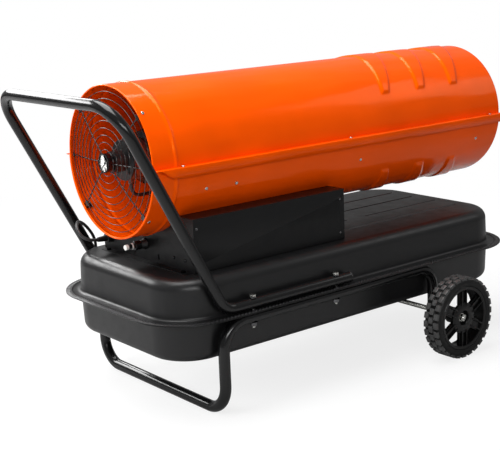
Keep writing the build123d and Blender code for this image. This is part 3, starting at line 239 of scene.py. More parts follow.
def noise(material, scale, detail=2.0, stretch=(1, 1, 1)):
    """Noise on the piece's own coordinates; returns the factor socket."""
    tree = material.node_tree
    coordinates = new_node(tree, "TexCoord")
    mapping = new_node(tree, "Mapping", Scale=stretch)
    texture = new_node(tree, "TexNoise", Scale=scale, Detail=detail)
    join(tree, (coordinates.outputs["Object"], mapping.inputs["Vector"]),
         (mapping.outputs["Vector"], texture.inputs["Vector"]))
    return texture.outputs["Fac"]


def add_bump(material, height, depth):
    """Bump of this depth in metres, added under what the shader already has."""
    tree = material.node_tree
    normal = shader_of(material).inputs["Normal"]
    bump = new_node(tree, "Bump", Strength=1.0, Distance=depth)
    join(tree, (height, bump.inputs["Height"]))
    if normal.is_linked:
        join(tree, (normal.links[0].from_socket, bump.inputs["Normal"]))
    join(tree, (bump.outputs["Normal"], normal))
    return material


def vary(material, socket, factor, low, high):
    """Let a colour or a number run from low to high with the factor."""
    tree = material.node_tree
    ramp = new_node(tree, "ValToRGB")
    ramp.color_ramp.elements[0].position = 0.3
    ramp.color_ramp.elements[1].position = 0.7
    for element, value in zip(ramp.color_ramp.elements, (low, high)):
        element.color = value if hasattr(value, "__len__") else (value, value, value, 1.0)
    join(tree, (factor, ramp.inputs["Fac"]), (ramp.outputs["Color"], shader_of(material).inputs[socket]))


def shade(colour, factor):
    return (colour[0] * factor, colour[1] * factor, colour[2] * factor, 1.0)


def powder_coat(name, colour, roughness, coat=0.0, grain=900.0, depth=0.000001, specular=0.5):
    """Paint with a slow change of colour, patchy gloss and a fine grain."""
    material = principled(name, colour, roughness, coat=coat, specular=specular)
    vary(material, "Base Color", noise(material, 7.0), shade(colour, 0.93), shade(colour, 1.05))
    vary(material, "Roughness", noise(material, 40.0, 4.0), roughness * 0.88, min(roughness * 1.15, 1.0))
    return add_bump(material, noise(material, grain, 1.0), depth)


def plated(name, colour, roughness, stretch=(1, 1, 1)):
    """Bare or plated metal with fine streaks in its gloss."""
    material = principled(name, colour, roughness, metallic=1.0)
    vary(material, "Roughness", noise(material, 300.0, 3.0, stretch), roughness * 0.75, roughness * 1.3)
    vary(material, "Base Color", noise(material, 60.0), shade(colour, 0.88), shade(colour, 1.0))
    return material


def moulded(name, colour, roughness, grain=1600.0, depth=0.00003, specular=0.5):
    """Plastic or rubber with a grain of this scale and depth."""
    material = principled(name, colour, roughness, specular=specular)
    vary(material, "Roughness", noise(material, 80.0, 3.0), roughness * 0.9, min(roughness * 1.12, 1.0))
    return add_bump(material, noise(material, grain, 2.0), depth)


# %% [markdown]
# The paint of the barrel is a hot orange with a gloss that turns its highlights yellow. The tank, the box
# and the tubes are satin black, a little glossier on the tubes.

# %% Finishes of this heater
WHITE = (1.0, 1.0, 1.0, 1.0)
HIGHLIGHT_YELLOW = (1.0, 0.62, 0.08, 1.0)
SHEET_WAVES = {"scale": 9.0, "detail": 1.5, "stretch": (0.35, 1.6, 1.6)}
WAVE_DEPTH = 0.006
orange_paint = powder_coat("orange_paint", srgb(252, 84, 0), 0.14, grain=260.0, specular=0.3)
set_sockets(shader_of(orange_paint), {"Specular Tint": HIGHLIGHT_YELLOW})
add_bump(orange_paint, noise(orange_paint, **SHEET_WAVES), WAVE_DEPTH)
tank_paint = powder_coat("tank_paint", srgb(15, 15, 16), 0.36)
# The ripple is painted lighter than the tank: a painted highlight standing for light caught on the weld
# ridges.
ripple_highlight_paint = powder_coat("ripple_highlight_paint", srgb(44, 44, 45), 0.30)
box_paint = powder_coat("box_paint", srgb(9, 9, 10), 0.42, depth=0.000002, specular=0.3)
tube_paint = powder_coat("tube_paint", srgb(10, 10, 11), 0.2, coat=0.2, specular=0.4)
guard_plate = plated("guard_plate", srgb(92, 92, 92), 0.2)
zinc = plated("zinc", srgb(205, 205, 200), 0.24)
dark_zinc = plated("dark_zinc", srgb(110, 110, 112), 0.2)
black_zinc = plated("black_zinc", srgb(52, 52, 54), 0.16)
sheet_zinc = plated("sheet_zinc", srgb(178, 180, 182), 0.34, (1, 1, 6))
heat_steel = plated("heat_steel", srgb(150, 142, 132), 0.38, (1, 6, 6))
cast_metal = plated("cast_metal", srgb(150, 150, 152), 0.45)
brass = plated("brass", srgb(196, 160, 86), 0.25)
tyre_rubber = moulded("tyre_rubber", srgb(13, 13, 13), 0.5, 900.0, 0.00005, specular=0.3)
# The tread blocks are a lighter grey than the tyre's black rubber: painted highlights on the edges of the
# blocks.
tread_highlight_rubber = moulded("tread_highlight_rubber", srgb(66, 66, 66), 0.3, 700.0, 0.0001)
wheel_plastic = moulded("wheel_plastic", srgb(9, 9, 9), 0.3, specular=0.35)
black_plastic = moulded("black_plastic", srgb(22, 22, 23), 0.36)
gloss_plastic = moulded("gloss_plastic", srgb(16, 16, 17), 0.14, depth=0.00001)
lead_rubber = moulded("lead_rubber", srgb(44, 44, 45), 0.42, 700.0, 0.00004)
dial_white = moulded("dial_white", srgb(236, 236, 232), 0.35)
# Painted reflection: flat white on the plug's end and ring stands for the shine of plated metal.
plug_highlight_white = moulded("plug_highlight_white", srgb(232, 232, 228), 0.3)
red_plastic = moulded("red_plastic", srgb(190, 22, 14), 0.2)
ceramic = moulded("ceramic", srgb(226, 222, 210), 0.15)
board_green = moulded("board_green", srgb(26, 84, 52), 0.4)
clear_glass = principled("clear_glass", WHITE, 0.02)
set_sockets(shader_of(clear_glass), {"Transmission Weight": 1.0, "IOR": 1.1})

# %% [markdown]
# ## Pieces
# A finished piece goes through one function: it gets its material, smooth shading up to an angle,
# the body it moves with and the nodes that it stands for.

# %% Piece helpers
NO_LENGTH = 0.001 * MM
MERGE = 0.005 * MM
FLAT_ANGLE = 12.0  # edges from this angle up stay sharp: flat-faced sheet,
ROUND_ANGLE = 30.0  # turned and moulded pieces,
TUBE_ANGLE = 40.0  # tubes, wheels and the tank,
SHELL_ANGLE = 50.0  # the barrel,
WIRE_ANGLE = 60.0  # wires and small ridges
NODE_BODY = {name: node["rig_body"] for name, node in frame["nodes"].items()}


def finish_piece(name, mesh, material, nodes, sharp_angle, stands_for=True):
    """Object from a mesh: its look, its body and the nodes it stands for."""
    for polygon in mesh.polygons:
        polygon.use_smooth = True
    mesh.set_sharp_from_angle(angle=math.radians(sharp_angle))
    mesh.materials.clear()
    mesh.materials.append(material)
    obj = add_object(name, mesh)
    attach(obj, NODE_BODY[nodes[0]])
    if stands_for:
        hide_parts(*nodes)
    return obj


def mesh_of(bm, name):
    """Mesh from a finished bmesh, with touching points merged and its faces turned outward."""
    bmesh.ops.remove_doubles(bm, verts=bm.verts, dist=MERGE)
    bmesh.ops.recalc_face_normals(bm, faces=bm.faces)
    mesh = bpy.data.meshes.new(name)
    bm.to_mesh(mesh)
    bm.free()
    return mesh


def merged_copy(node, name, material, sharp_angle):
    """The node's own form with its loose triangles merged, so that curved faces shade smoothly."""
    bm = bmesh.new()
    bm.from_mesh(frame["nodes"][node].data)
    bmesh.ops.remove_doubles(bm, verts=bm.verts, dist=MERGE)
    mesh = bpy.data.meshes.new(name)
    bm.to_mesh(mesh)
    bm.free()
    return finish_piece(name, mesh, material, [node], sharp_angle)


def box_between(bm, low, high, place, edge=0.0, edge_test=None):
    """Box between two corners in mm, carried by a matrix; edges that pass the test are rounded."""
    size = [(b - a) * MM for a, b in zip(low, high)]
    centre = Vector([(a + b) / 2 * MM for a, b in zip(low, high)])
    stretch = Matrix.Translation(centre) @ Matrix.Diagonal((*size, 1.0))
    verts = bmesh.ops.create_cube(bm, size=1.0, matrix=stretch)["verts"]
    if edge:
        edges = {side for vert in verts for side in vert.link_edges}
        chosen = [side for side in edges if edge_test is None or edge_test(side)]
        rounded = bmesh.ops.bevel(bm, geom=chosen, offset=edge * MM, affect="EDGES", segments=2,
                                  profile=0.5, material=-1)
        verts = {vert for face in rounded["faces"] for vert in face.verts}
        verts |= {vert for side in edges if side.is_valid for vert in side.verts}
    bmesh.ops.transform(bm, matrix=place, verts=list(verts))


def turned(bm, outline, steps, closed=True):
    """Outline of (radius, height) pairs in mm turned about the Z axis."""
    points = [bm.verts.new((radius * MM, 0, height * MM)) for radius, height in outline]
    edges = [bm.edges.new(pair) for pair in zip(points, points[1:])]
    if closed:
        edges.append(bm.edges.new((points[-1], points[0])))
    bmesh.ops.spin(bm, geom=points + edges, cent=(0, 0, 0), axis=(0, 0, 1), angle=2 * math.pi, steps=steps,
                   use_merge=True)


# %% [markdown]
# ## Pieces that keep their form
# Flat sheets and turned parts are right as they come, so they only get merged faces and a finish, and some
# of them a narrow rounding that catches the light.

# %% Carried-over pieces
CARRIED = {
    "near_cover": box_paint, "control_panel": box_paint, "intake_panel": box_paint,
    "outlet_panel": box_paint, "filler_neck": tank_paint,
    "filler_strainer": sheet_zinc, "filler_cap": gloss_plastic, "cap_seal": tyre_rubber,
    "tank_drain_plug": zinc, "tube_end_plugs": black_plastic, "handle_bolts": zinc,
    "handle_nuts": dark_zinc, "handle_washers": dark_zinc, "axle": zinc, "axle_nuts": zinc,
    "panel_bolts": black_zinc, "cover_screws": dark_zinc, "barrel_screws": zinc,
    "motor_bracket": sheet_zinc, "motor_shaft": zinc,
    "fan": black_plastic, "motor": tube_paint, "pump_body": cast_metal, "pump_cover": black_plastic,
    "pump_rotor": cast_metal, "gauge_case": gloss_plastic, "gauge_lens": clear_glass,
    "gauge_needle": gloss_plastic, "combustion_chamber": heat_steel, "flame_baffle": heat_steel,
    "burner_head": heat_steel, "chamber_brackets": sheet_zinc, "fuel_nozzle": brass,
    "spark_electrodes": ceramic, "flame_sensor": black_plastic, "fuel_line": lead_rubber,
    "air_hose": lead_rubber, "ignition_transformer": black_plastic, "control_board": board_green,
    "switch_housing": black_plastic, "rocker_switch": red_plastic, "reset_bushing": black_plastic,
    "reset_button": red_plastic, "thermostat_socket": black_plastic,
    "cord_gland": black_plastic, "mains_plug": black_plastic,
}
FLAT_FACED = ("flame_baffle", "combustion_chamber", "chamber_brackets", "motor_bracket", "intake_panel",
              "outlet_panel")
SOFT_EDGES = {
    "filler_cap": 0.8, "gauge_case": 0.6, "mains_plug": 1.0, "cord_gland": 0.6, "handle_bolts": 0.5,
    "handle_nuts": 0.5, "axle_nuts": 0.6, "panel_bolts": 0.4, "motor": 0.6, "pump_cover": 0.8, "fan": 0.5,
}
REAL_EDGE = math.radians(38)


def soft_edges(obj, width):
    """Narrow rounding, in mm, on the real edges."""
    rounding = obj.modifiers.new("edges", "BEVEL")
    rounding.width = width * MM
    rounding.segments = 2
    rounding.limit_method = "ANGLE"
    rounding.angle_limit = REAL_EDGE


for node_name, finish in CARRIED.items():
    sharp = FLAT_ANGLE if node_name in FLAT_FACED else ROUND_ANGLE
    carried = merged_copy(node_name, node_name + "_skin", finish, sharp)
    if node_name in SOFT_EDGES:
        soft_edges(carried, SOFT_EDGES[node_name])
power_lead.data.materials.append(lead_rubber)
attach(power_lead, "root")
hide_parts("power_cord", "cord_coil")

# %% [markdown]
# ## The barrel
# The barrel is two half shells rolled from painted sheet, closed on a ledge at axis height. A section along
# one side, with its rolled edge and its bead, is spun through half a turn. The stamped ribs then lift the
# sheet: on the flat sheet each is a strip with straight edges that widens towards the crown.

# %% Barrel sections, in mm where no unit is given
BARREL_R = 168.0 * MM
SHEET = 1.0 * MM
LEDGE = 15.0 * MM
LEDGE_SETBACK = 3.0 * MM  # of the lower half's ledge inside the lip
LEDGE_DROP = 0.2 * MM
LEDGE_ROUND = [(1.5, 0.0), (0.4, 0.5), (0.0, 1.6)]  # inset, drop
RIM_DROP = 0.3 * MM  # sheet this far inside the barrel's radius is a rolled rim
LIP = 22.0 * MM
LIP_FROM = 1.9 * MM
LIP_CUT = (6.0, 50.0)  # distances behind the rim
BEAD_AT = 59.0
BEAD_HALF = 6.5
BEAD_HEIGHT = 2.5
ROLL_R = 1.6
ROLL_ARC = [math.radians(240 - 30 * k) for k in range(9)]
HEM = 20.0
HEM_R = 1.0
HEM_ARC = [math.radians(45 * k) for k in range(1, 5)]
RIB_HEIGHT = 4.0
RIB_SLOPE = 8.0
RIBS = [(683, 713, 726, 806), (804, 836, 850, 930), (925, 955, 974, 1054)]  # sides at foot and at crown
RIB_FOOT = {"upper": 31.0, "lower": 35.0}  # degrees above the ledge
BEAD_ZONE = 70.0
RIB_ZONE = 660.0
FINE_STEP, COARSE_STEP, RIB_STEP = 2.2, 30.0, 2.7
SHELL_STEPS = 150


def stations(length):
    """Distances behind the rim at which the sheet has a line of points: close at bead, cut and ribs."""
    found = [2 * ROLL_R]
    while found[-1] < length - HEM_R:
        here = found[-1]
        step = FINE_STEP if here < BEAD_ZONE else COARSE_STEP if here < RIB_ZONE else RIB_STEP
        found.append(min(here + step, length - HEM_R))
    return found


def bead_lift(x):
    """Height of the rolled bead at this distance behind the rim."""
    reach = abs(x - BEAD_AT) / BEAD_HALF
    return BEAD_HEIGHT * 0.5 * (1 + math.cos(math.pi * reach)) if reach < 1 else 0.0


def section_line(length):
    """Section of the sheet from the intake's inward roll to the outlet's folded hem: (x, radius) in mm."""
    outside = BARREL_R / MM
    line = []
    for turn in ROLL_ARC:
        line.append((ROLL_R - ROLL_R * math.sin(turn), outside - ROLL_R + ROLL_R * math.cos(turn)))
    line += [(x, outside + bead_lift(x)) for x in stations(length)]
    for turn in HEM_ARC:
        line.append((length - HEM_R + HEM_R * math.sin(turn), outside - HEM_R + HEM_R * math.cos(turn)))
    return line + [(length - HEM, outside - 2 * HEM_R)]


def rib_lift(x, angle, foot):
    """Height of the stamped ribs at this distance behind the rim and this angle above the ledge."""
    folded = min(angle, 180 - angle)
    up = (folded - foot) / (90 - foot)
    end = (folded - foot) * math.radians(1) * BARREL_R / MM
    if end <= 0:
        return 0.0
    lift = 0.0
    for left_foot, right_foot, left_crown, right_crown in RIBS:
        left = left_foot + (left_crown - left_foot) * up
        right = right_foot + (right_crown - right_foot) * up
        inside = min(x - left, right - x, end)
        lift = max(lift, RIB_HEIGHT * smooth_step(inside, 0, RIB_SLOPE))
    return lift


# %% Half shells


def half_shell(half):
    """One half of the barrel as a sheet: spun section, lifted ribs, ledge and, above, its return lip."""
    sign = 1 if half == "upper" else -1
    length = (OUTLET_X - RIM_X) / MM
    bm = bmesh.new()
    line = [bm.verts.new((RIM_X + x * MM, -r * MM, AXIS_Z)) for x, r in section_line(length)]
    edges = [bm.edges.new(pair) for pair in zip(line, line[1:])]
    bmesh.ops.spin(bm, geom=line + edges, cent=(0, 0, AXIS_Z), axis=(1, 0, 0), angle=-sign * math.pi,
                   steps=SHELL_STEPS, use_merge=False)
    for vert in bm.verts:
        y, z = vert.co.y, sign * (vert.co.z - AXIS_Z)
        angle = math.degrees(math.atan2(z, -y))
        lift = rib_lift((vert.co.x - RIM_X) / MM, angle, RIB_FOOT[half]) * MM
        vert.co.y += lift * y / math.hypot(y, z)
        vert.co.z += sign * lift * z / math.hypot(y, z)
    add_ledges(bm, half)
    return mesh_of(bm, half + "_shell_sheet")


def ledge_edges(bm, side):
    """Edges of the sheet that lie on one side of the joint plane, without the rolled rims."""
    found = []
    for edge in bm.edges:
        level = all(abs(v.co.z - AXIS_Z) < NO_LENGTH and v.co.y * side > 0 for v in edge.verts)
        clear = all(abs(v.co.y) > BARREL_R - RIM_DROP for v in edge.verts)
        if edge.is_boundary and level and clear:
            found.append(edge)
    return found


def extrude(bm, edges):
    """New points and new edges that these edges are drawn out into."""
    made = bmesh.ops.extrude_edge_only(bm, edges=edges)["geom"]
    return ([item for item in made if isinstance(item, bmesh.types.BMVert)],
            [item for item in made if isinstance(item, bmesh.types.BMEdge)])


def pull_out(bm, edges, side, reach, height):
    """Extrude the ledge's edge to this width and height; returns the new edges."""
    points, drawn = extrude(bm, edges)
    for vert in points:
        vert.co.y = side * reach
        vert.co.z = height(vert.co.x)
    return [edge for edge in drawn
            if edge.is_boundary and abs(edge.verts[0].co.y - edge.verts[1].co.y) < NO_LENGTH]


def lip_bottom(x):
    """Height of the lip's free edge, which is cut back in an S-curve near the intake."""
    share = smooth_step((x - RIM_X) / MM, *LIP_CUT)
    return AXIS_Z + SHEET - LIP_FROM - (LIP - LIP_FROM) * share


def add_ledges(bm, half):
    """Ledge along both sides; the upper half's is rounded over and turned down into the lip."""
    reach = BARREL_R + LEDGE
    for side in (-1, 1):
        edges = ledge_edges(bm, side)
        if half == "lower":
            pull_out(bm, edges, side, reach - LEDGE_SETBACK, lambda x: AXIS_Z - LEDGE_DROP)
            continue
        for inset, drop in LEDGE_ROUND:
            level = AXIS_Z + SHEET - drop * MM
            edges = pull_out(bm, edges, side, reach - inset * MM, lambda x: level)
        pull_out(bm, edges, side, reach, lip_bottom)


def thicken(obj):
    """Give a pressed surface the thickness of its sheet, inward."""
    wall = obj.modifiers.new("wall", "SOLIDIFY")
    wall.thickness = SHEET
    wall.offset = -1.0
    wall.use_even_offset = True


for half_name in ("upper", "lower"):
    sheet = half_shell(half_name)
    shell_name = half_name + "_shell"
    thicken(finish_piece(half_name + "_barrel_sheet", sheet, orange_paint, [shell_name], SHELL_ANGLE))

# %% [markdown]
# ## The tank
# Both halves of the tank start as one rounded-rectangle ring. Each ring is pulled out of the one before
# to its own inset and height, so a short list of (inset, height) pairs is the section of the pressing.

# %% Tank sections, in mm where no unit is given
FLANGE_R = 137.0 * MM
FLANGE_IN = 36.0
CORNER_STEPS = 26
TOP_STEPS, BOTTOM_STEPS = 12, 10
SEAM_Z = corners("tank_upper")[0].z
DRAFT = 2.0  # degrees
TOP_FILLET = 26.0
BOTTOM_FILLET = 21.0
FLANGE_FILLET = 7.0
LOWER_FLANGE_FILLET = 5.0
# Flange sections: inset, height above the seam
UPPER_FLANGE = [(0.6, 0.4), (0.0, 0.9), (0.5, 1.8), (1.5, 2.1), (11.5, 2.1), (12.5, 1.4)]
LOWER_FLANGE = [(0.6, 0.3), (0.2, -0.4), (1.0, -1.2), (12.0, -1.2)]


def quarter(middle_in, middle_z, radius, start, end, steps=8):
    """Arc in the section: angle 0 points outward, 90 up; inset grows inward."""
    points = []
    for k in range(steps + 1):
        turn = math.radians(start + (end - start) * k / steps)
        points.append((middle_in - radius * math.cos(turn), middle_z + radius * math.sin(turn)))
    return points


def outline_place(angle, inset, low, high):
    """(x, y) on the tank's outline, moved in by the inset, for a direction of the starting circle."""
    radius = FLANGE_R - inset
    across, along = math.cos(angle), math.sin(angle)
    centre_x = (high.x - FLANGE_R) if across > 0 else (low.x + FLANGE_R)
    centre_y = (high.y - FLANGE_R) if along > 0 else (low.y + FLANGE_R)
    return centre_x + radius * across, centre_y + radius * along


def pulled_rings(section):
    """Rings of the tank's outline pulled one out of another along a section of (inset, z) in mm."""
    low, high = corners("tank_lower")
    bm = bmesh.new()
    segments = 4 * CORNER_STEPS
    half_step = Matrix.Rotation(math.pi / segments, 4, "Z")
    bmesh.ops.create_circle(bm, cap_ends=False, segments=segments, radius=1.0, matrix=half_step)
    stored = bm.verts.layers.float.new("angle")
    for vert in bm.verts:
        vert[stored] = math.atan2(vert.co.y, vert.co.x)
    ring, edges = list(bm.verts), list(bm.edges)
    for k, (inset, z) in enumerate(section):
        if k:
            ring, drawn = extrude(bm, edges)
            fresh = set(ring)
            edges = [edge for edge in drawn if set(edge.verts) <= fresh]
        for vert in ring:
            vert.co = (*outline_place(vert[stored], inset * MM, low, high), z * MM)
    return bm, edges


# %% Upper half with its grooves: from, to, y; half width, depth
GROOVES = [(560, 980, 40), (560, 660, -40), (728, 985, -40), (560, 980, -115), (660, 980, 115)]
GROOVE_SECTION = [(3.3, 0.0), (2.8, -0.5), (2.4, -1.5), (1.8, -2.0), (0.4, -2.1)]
ROUND_END = 8


def groove_ring(bm, groove, half, z):
    """Ring of a groove: a straight-sided outline with half circles at both ends."""
    start, end, y = groove
    ring = []
    for middle_x, first in ((end, -90), (start, 90)):
        for k in range(ROUND_END + 1):
            turn = math.radians(first + 180 * k / ROUND_END)
            behind = middle_x + half * math.cos(turn)
            ring.append(bm.verts.new((RIM_X + behind * MM, (y + half * math.sin(turn)) * MM, z)))
    return ring


def loop_edges(bm, ring):
    return [bm.edges.new(pair) for pair in zip(ring, ring[1:] + ring[:1])]


def tank_top(bm, rim):
    """Flat top between the fillet and the grooves, and the grooves themselves."""
    top = corners("tank_upper")[1].z
    border = list(rim)
    for groove in GROOVES:
        rings = [groove_ring(bm, groove, half, top + depth * MM) for half, depth in GROOVE_SECTION]
        loops = [loop_edges(bm, ring) for ring in rings]
        border += loops[0]
        for outer, inner in zip(loops, loops[1:]):
            bmesh.ops.bridge_loops(bm, edges=outer + inner)
        bm.faces.new(rings[-1])
    bmesh.ops.triangle_fill(bm, edges=border, use_beauty=True)


def upper_tank():
    """Flange, wall and rounded shoulder of the upper half, closed by the grooved top."""
    top = corners("tank_upper")[1].z / MM
    seam = SEAM_Z / MM
    wall = FLANGE_IN + (top - TOP_FILLET - seam) * math.tan(math.radians(DRAFT))
    section = [(inset, seam + up) for inset, up in UPPER_FLANGE]
    level = section[-1][1]
    section += quarter(FLANGE_IN - FLANGE_FILLET, level + FLANGE_FILLET, FLANGE_FILLET, 270, 180)
    section += quarter(wall + TOP_FILLET, top - TOP_FILLET, TOP_FILLET, DRAFT, 90, TOP_STEPS)
    bm, rim = pulled_rings(section)
    tank_top(bm, rim)
    return mesh_of(bm, "upper_tank")


def lower_tank():
    """Flange, wall and rounded bottom edge of the lower half, closed by a flat bottom."""
    bottom = corners("tank_lower")[0].z / MM
    seam = SEAM_Z / MM
    wall = FLANGE_IN + (seam - bottom - BOTTOM_FILLET) * math.tan(math.radians(DRAFT))
    section = [(inset, seam + up) for inset, up in LOWER_FLANGE]
    fillet, level = LOWER_FLANGE_FILLET, section[-1][1]
    section += quarter(FLANGE_IN - fillet, level - fillet, fillet, 90, 180)
    fillet = BOTTOM_FILLET
    section += quarter(wall + fillet, bottom + fillet, fillet, -DRAFT, -90, BOTTOM_STEPS)
    bm, rim = pulled_rings(section)
    bmesh.ops.holes_fill(bm, edges=rim)
    return mesh_of(bm, "lower_tank")


# %% Place the tank
for half_name, pressing in (("upper", upper_tank()), ("lower", lower_tank())):
    tank_name = "tank_" + half_name
    thicken(finish_piece(half_name + "_tank_pressing", pressing, tank_paint, [tank_name], TUBE_ANGLE))

# %% Weld ripple along the flange
RIPPLE_PITCH = 9.5
RIPPLE_INSET = 9.5
RIPPLE_HALF = (7.4, 2.5, 1.5)
RIPPLE_EDGE = 1.2
RIPPLE_LIFT = 1.2 * MM
RIPPLE_SLANT = math.radians(-40)


def outline_walk(inset, pitch):
    """Places along the tank's outline about one pitch apart: x, y and the direction of travel."""
    low, high = corners("tank_lower")
    radius = FLANGE_R - inset * MM
    size = ((high.x - low.x) - 2 * FLANGE_R, (high.y - low.y) - 2 * FLANGE_R)
    centre = ((high.x + low.x) / 2, (high.y + low.y) / 2)
    found = []
    for quadrant in range(4):
        heading = quadrant * math.pi / 2
        corner_x = centre[0] + size[0] / 2 * (1 if quadrant in (0, 3) else -1)
        corner_y = centre[1] + size[1] / 2 * (1 if quadrant in (0, 1) else -1)
        steps = int(radius * math.pi / 2 / (pitch * MM))
        for k in range(steps):
            turn = heading + (k + 0.5) / steps * math.pi / 2
            found.append((corner_x + radius * math.cos(turn), corner_y + radius * math.sin(turn), turn))
        after = heading + math.pi / 2
        steps = int(size[quadrant % 2] / (pitch * MM))
        for k in range(steps):
            gone = (k + 0.5) / steps * size[quadrant % 2]
            found.append((corner_x + radius * math.cos(after) - gone * math.sin(after),
                          corner_y + radius * math.sin(after) + gone * math.cos(after), after))
    return found


def weld_ripple():
    """Row of slanting ridges on the flange, each a low bar."""
    bm = bmesh.new()
    low = [-half for half in RIPPLE_HALF]
    for x, y, turn in outline_walk(RIPPLE_INSET, RIPPLE_PITCH):
        slanted = Matrix.Rotation(turn + RIPPLE_SLANT, 4, "Z")
        box_between(bm, low, RIPPLE_HALF, Matrix.Translation((x, y, SEAM_Z + RIPPLE_LIFT)) @ slanted,
                    RIPPLE_EDGE, lambda side: min(vert.co.z for vert in side.verts) > 0)
    return mesh_of(bm, "weld_ripple")


# The ridges take the lighter ripple paint, a painted highlight along the weld.
finish_piece("weld_ripple", weld_ripple(), ripple_highlight_paint, ["tank_upper"], WIRE_ANGLE, stands_for=False)

# %% [markdown]
# ## Bent tubes
# Handle and undercarriage are each one round tube. Where the frame's rails and legs run gives the corners
# of a path; every corner becomes an arc, and a circle swept along the path makes the tube.

# %% Tubes, in metres
TUBE_R = 12.5 * MM
TUBE_SIDES = 36
RAIL_Y = 0.2425
LEG_END = 0.0695  # of the rear legs above the axis of the floor loop
FRAME_BENDS = [0.05, 0.06, 0.06, 0.06, 0.06, 0.05]
HANDLE_FOOT = 0.1104  # last corner of the handle's rail, behind the rim
HANDLE_BAR = (0.1295, 0.6947)  # before the rim, and above the floor
HANDLE_BENDS = [0.045, 0.075, 0.075, 0.045]


def bend_path(points, radii, step=4.0):
    """Points along straight runs whose corners are arcs of these radii."""
    path = [Vector(points[0])]
    for before, here, after, radius in zip(points, points[1:], points[2:], radii):
        before, here, after = Vector(before), Vector(here), Vector(after)
        into, out = (here - before).normalized(), (after - here).normalized()
        turn = into.angle(out)
        cut = radius * math.tan(turn / 2)
        start = here - into * cut
        inward = (out - into * into.dot(out)).normalized()
        centre = start + inward * radius
        count = max(int(math.degrees(turn) / step), 2)
        for k in range(count + 1):
            part = turn * k / count
            path.append(centre - inward * radius * math.cos(part) + into * radius * math.sin(part))
    return path + [Vector(points[-1])]


def sweep_round(bm, path, radius, sides):
    """Circle carried along a path without twisting, with flat ends."""
    tangents = [(after - before).normalized()
                for before, after in zip(path[:1] + path[:-1], path[1:] + path[-1:])]
    across = tangents[0].orthogonal().normalized()
    rings = []
    for place, tangent in zip(path, tangents):
        across = (across - tangent * across.dot(tangent)).normalized()
        up = tangent.cross(across)
        ring = []
        for k in range(sides):
            turn = 2 * math.pi * k / sides
            ring.append(bm.verts.new(place + radius * (math.cos(turn) * across + math.sin(turn) * up)))
        rings.append(ring)
    for first, second in zip(rings, rings[1:]):
        for k in range(sides):
            bm.faces.new((first[k], first[k - 1], second[k - 1], second[k]))
    bm.faces.new(rings[0])
    bm.faces.new(rings[-1])


def hoop(half):
    """Points of a hoop from its near half, (x, z) pairs, and the same ones back on the far side."""
    return [(x, -RAIL_Y, z) for x, z in half] + [(x, RAIL_Y, z) for x, z in reversed(half)]


def tube_piece(name, points, radii, node):
    """Painted tube through these corners, bent to these radii."""
    bm = bmesh.new()
    sweep_round(bm, bend_path(points, radii), TUBE_R, TUBE_SIDES)
    return finish_piece(name, mesh_of(bm, name), tube_paint, [node], TUBE_ANGLE)


axle_x, wheel_z = middle("axle").x, middle("axle").z
frame_low, frame_high = corners("frame_tube")
frame_rail = frame_high.z - TUBE_R
loop_x = frame_low.x + TUBE_R
frame_half = [(axle_x, frame_low.z + TUBE_R + LEG_END), (axle_x, frame_rail), (loop_x, frame_rail),
              (loop_x, TUBE_R)]
tube_piece("undercarriage_tube", hoop(frame_half), FRAME_BENDS, "frame_tube")
handle_low, handle_high = corners("handle_tube")
handle_rail = handle_low.z + TUBE_R
handle_half = [(handle_high.x, handle_rail), (RIM_X + HANDLE_FOOT, handle_rail),
               (RIM_X - HANDLE_BAR[0], HANDLE_BAR[1])]
tube_piece("push_handle_tube", hoop(handle_half), HANDLE_BENDS, "handle_tube")

# %% [markdown]
# ## Wheels
# Each wheel is turned about its axle, with its outer face at height 0: a tyre with three staggered rows of
# rounded blocks, and a plastic centre with a flat middle, a deep recess for the nut and six box spokes that
# carry two ribs each.

# %% Wheel sections: (radius, height) in mm, with the outer face at height 0
WHEEL_R = 100.0
TYRE_OUTLINE = [(78, -3), (79, -1.2), (84, -0.3), (89, 0), (93, -1.5), (95.3, -5), (95.3, -41), (93, -44.5),
                (89, -46), (84, -45.7), (79, -44.8), (78, -43)]
RIM_OUTLINE = [(78, -2.5), (77, -1.5), (71.5, -1.5), (70, -2.5), (69.5, -5), (71.5, -24), (72.5, -44.5),
               (78, -44.5)]
HUB_OUTLINE = [(16.5, -14), (17.5, -5), (18.5, -4), (36, -4), (38, -5.5), (38, -12), (24, -15), (20, -24),
               (19.5, -48), (5.2, -48), (5.2, -14)]
TREAD_BLOCKS = 28
TREAD_TOP = 99.7
TREAD_FOOT = 93.0
TREAD_ROWS = [(-8.2, 12.0, 0.0), (-23.0, 12.5, 0.5), (-37.8, 12.0, 0.0)]  # height, width, stagger
BLOCK_SHARE = 0.66
BLOCK_EDGE = 1.1
SPOKES = 6
SPOKE_WEB = (33.0, 71.0, 12.5, -16.0, -7.5)  # from, to, half width, low, high
SPOKE_RIB = (31.0, 71.5, 8.2, 2.4, -9.0, -2.0)  # from, to, offset, width, low, high
SPOKE_EDGE = 0.8
TYRE_STEPS, RIM_STEPS, HUB_STEPS = 112, 96, 72


def tread_blocks():
    """Staggered rows of blocks on the tyre, rounded where they meet the ground."""
    bm = bmesh.new()
    pitch = 2 * math.pi / TREAD_BLOCKS
    half = pitch * WHEEL_R * BLOCK_SHARE / 2
    for height, width, share in TREAD_ROWS:
        low = (TREAD_FOOT, -half, height - width / 2)
        high = (TREAD_TOP, half, height + width / 2)
        for k in range(TREAD_BLOCKS):
            place = Matrix.Rotation((k + share) * pitch, 4, "Z")
            box_between(bm, low, high, place, BLOCK_EDGE,
                        lambda side: min(vert.co.x for vert in side.verts) > (TREAD_TOP - 1) * MM)
    return bm


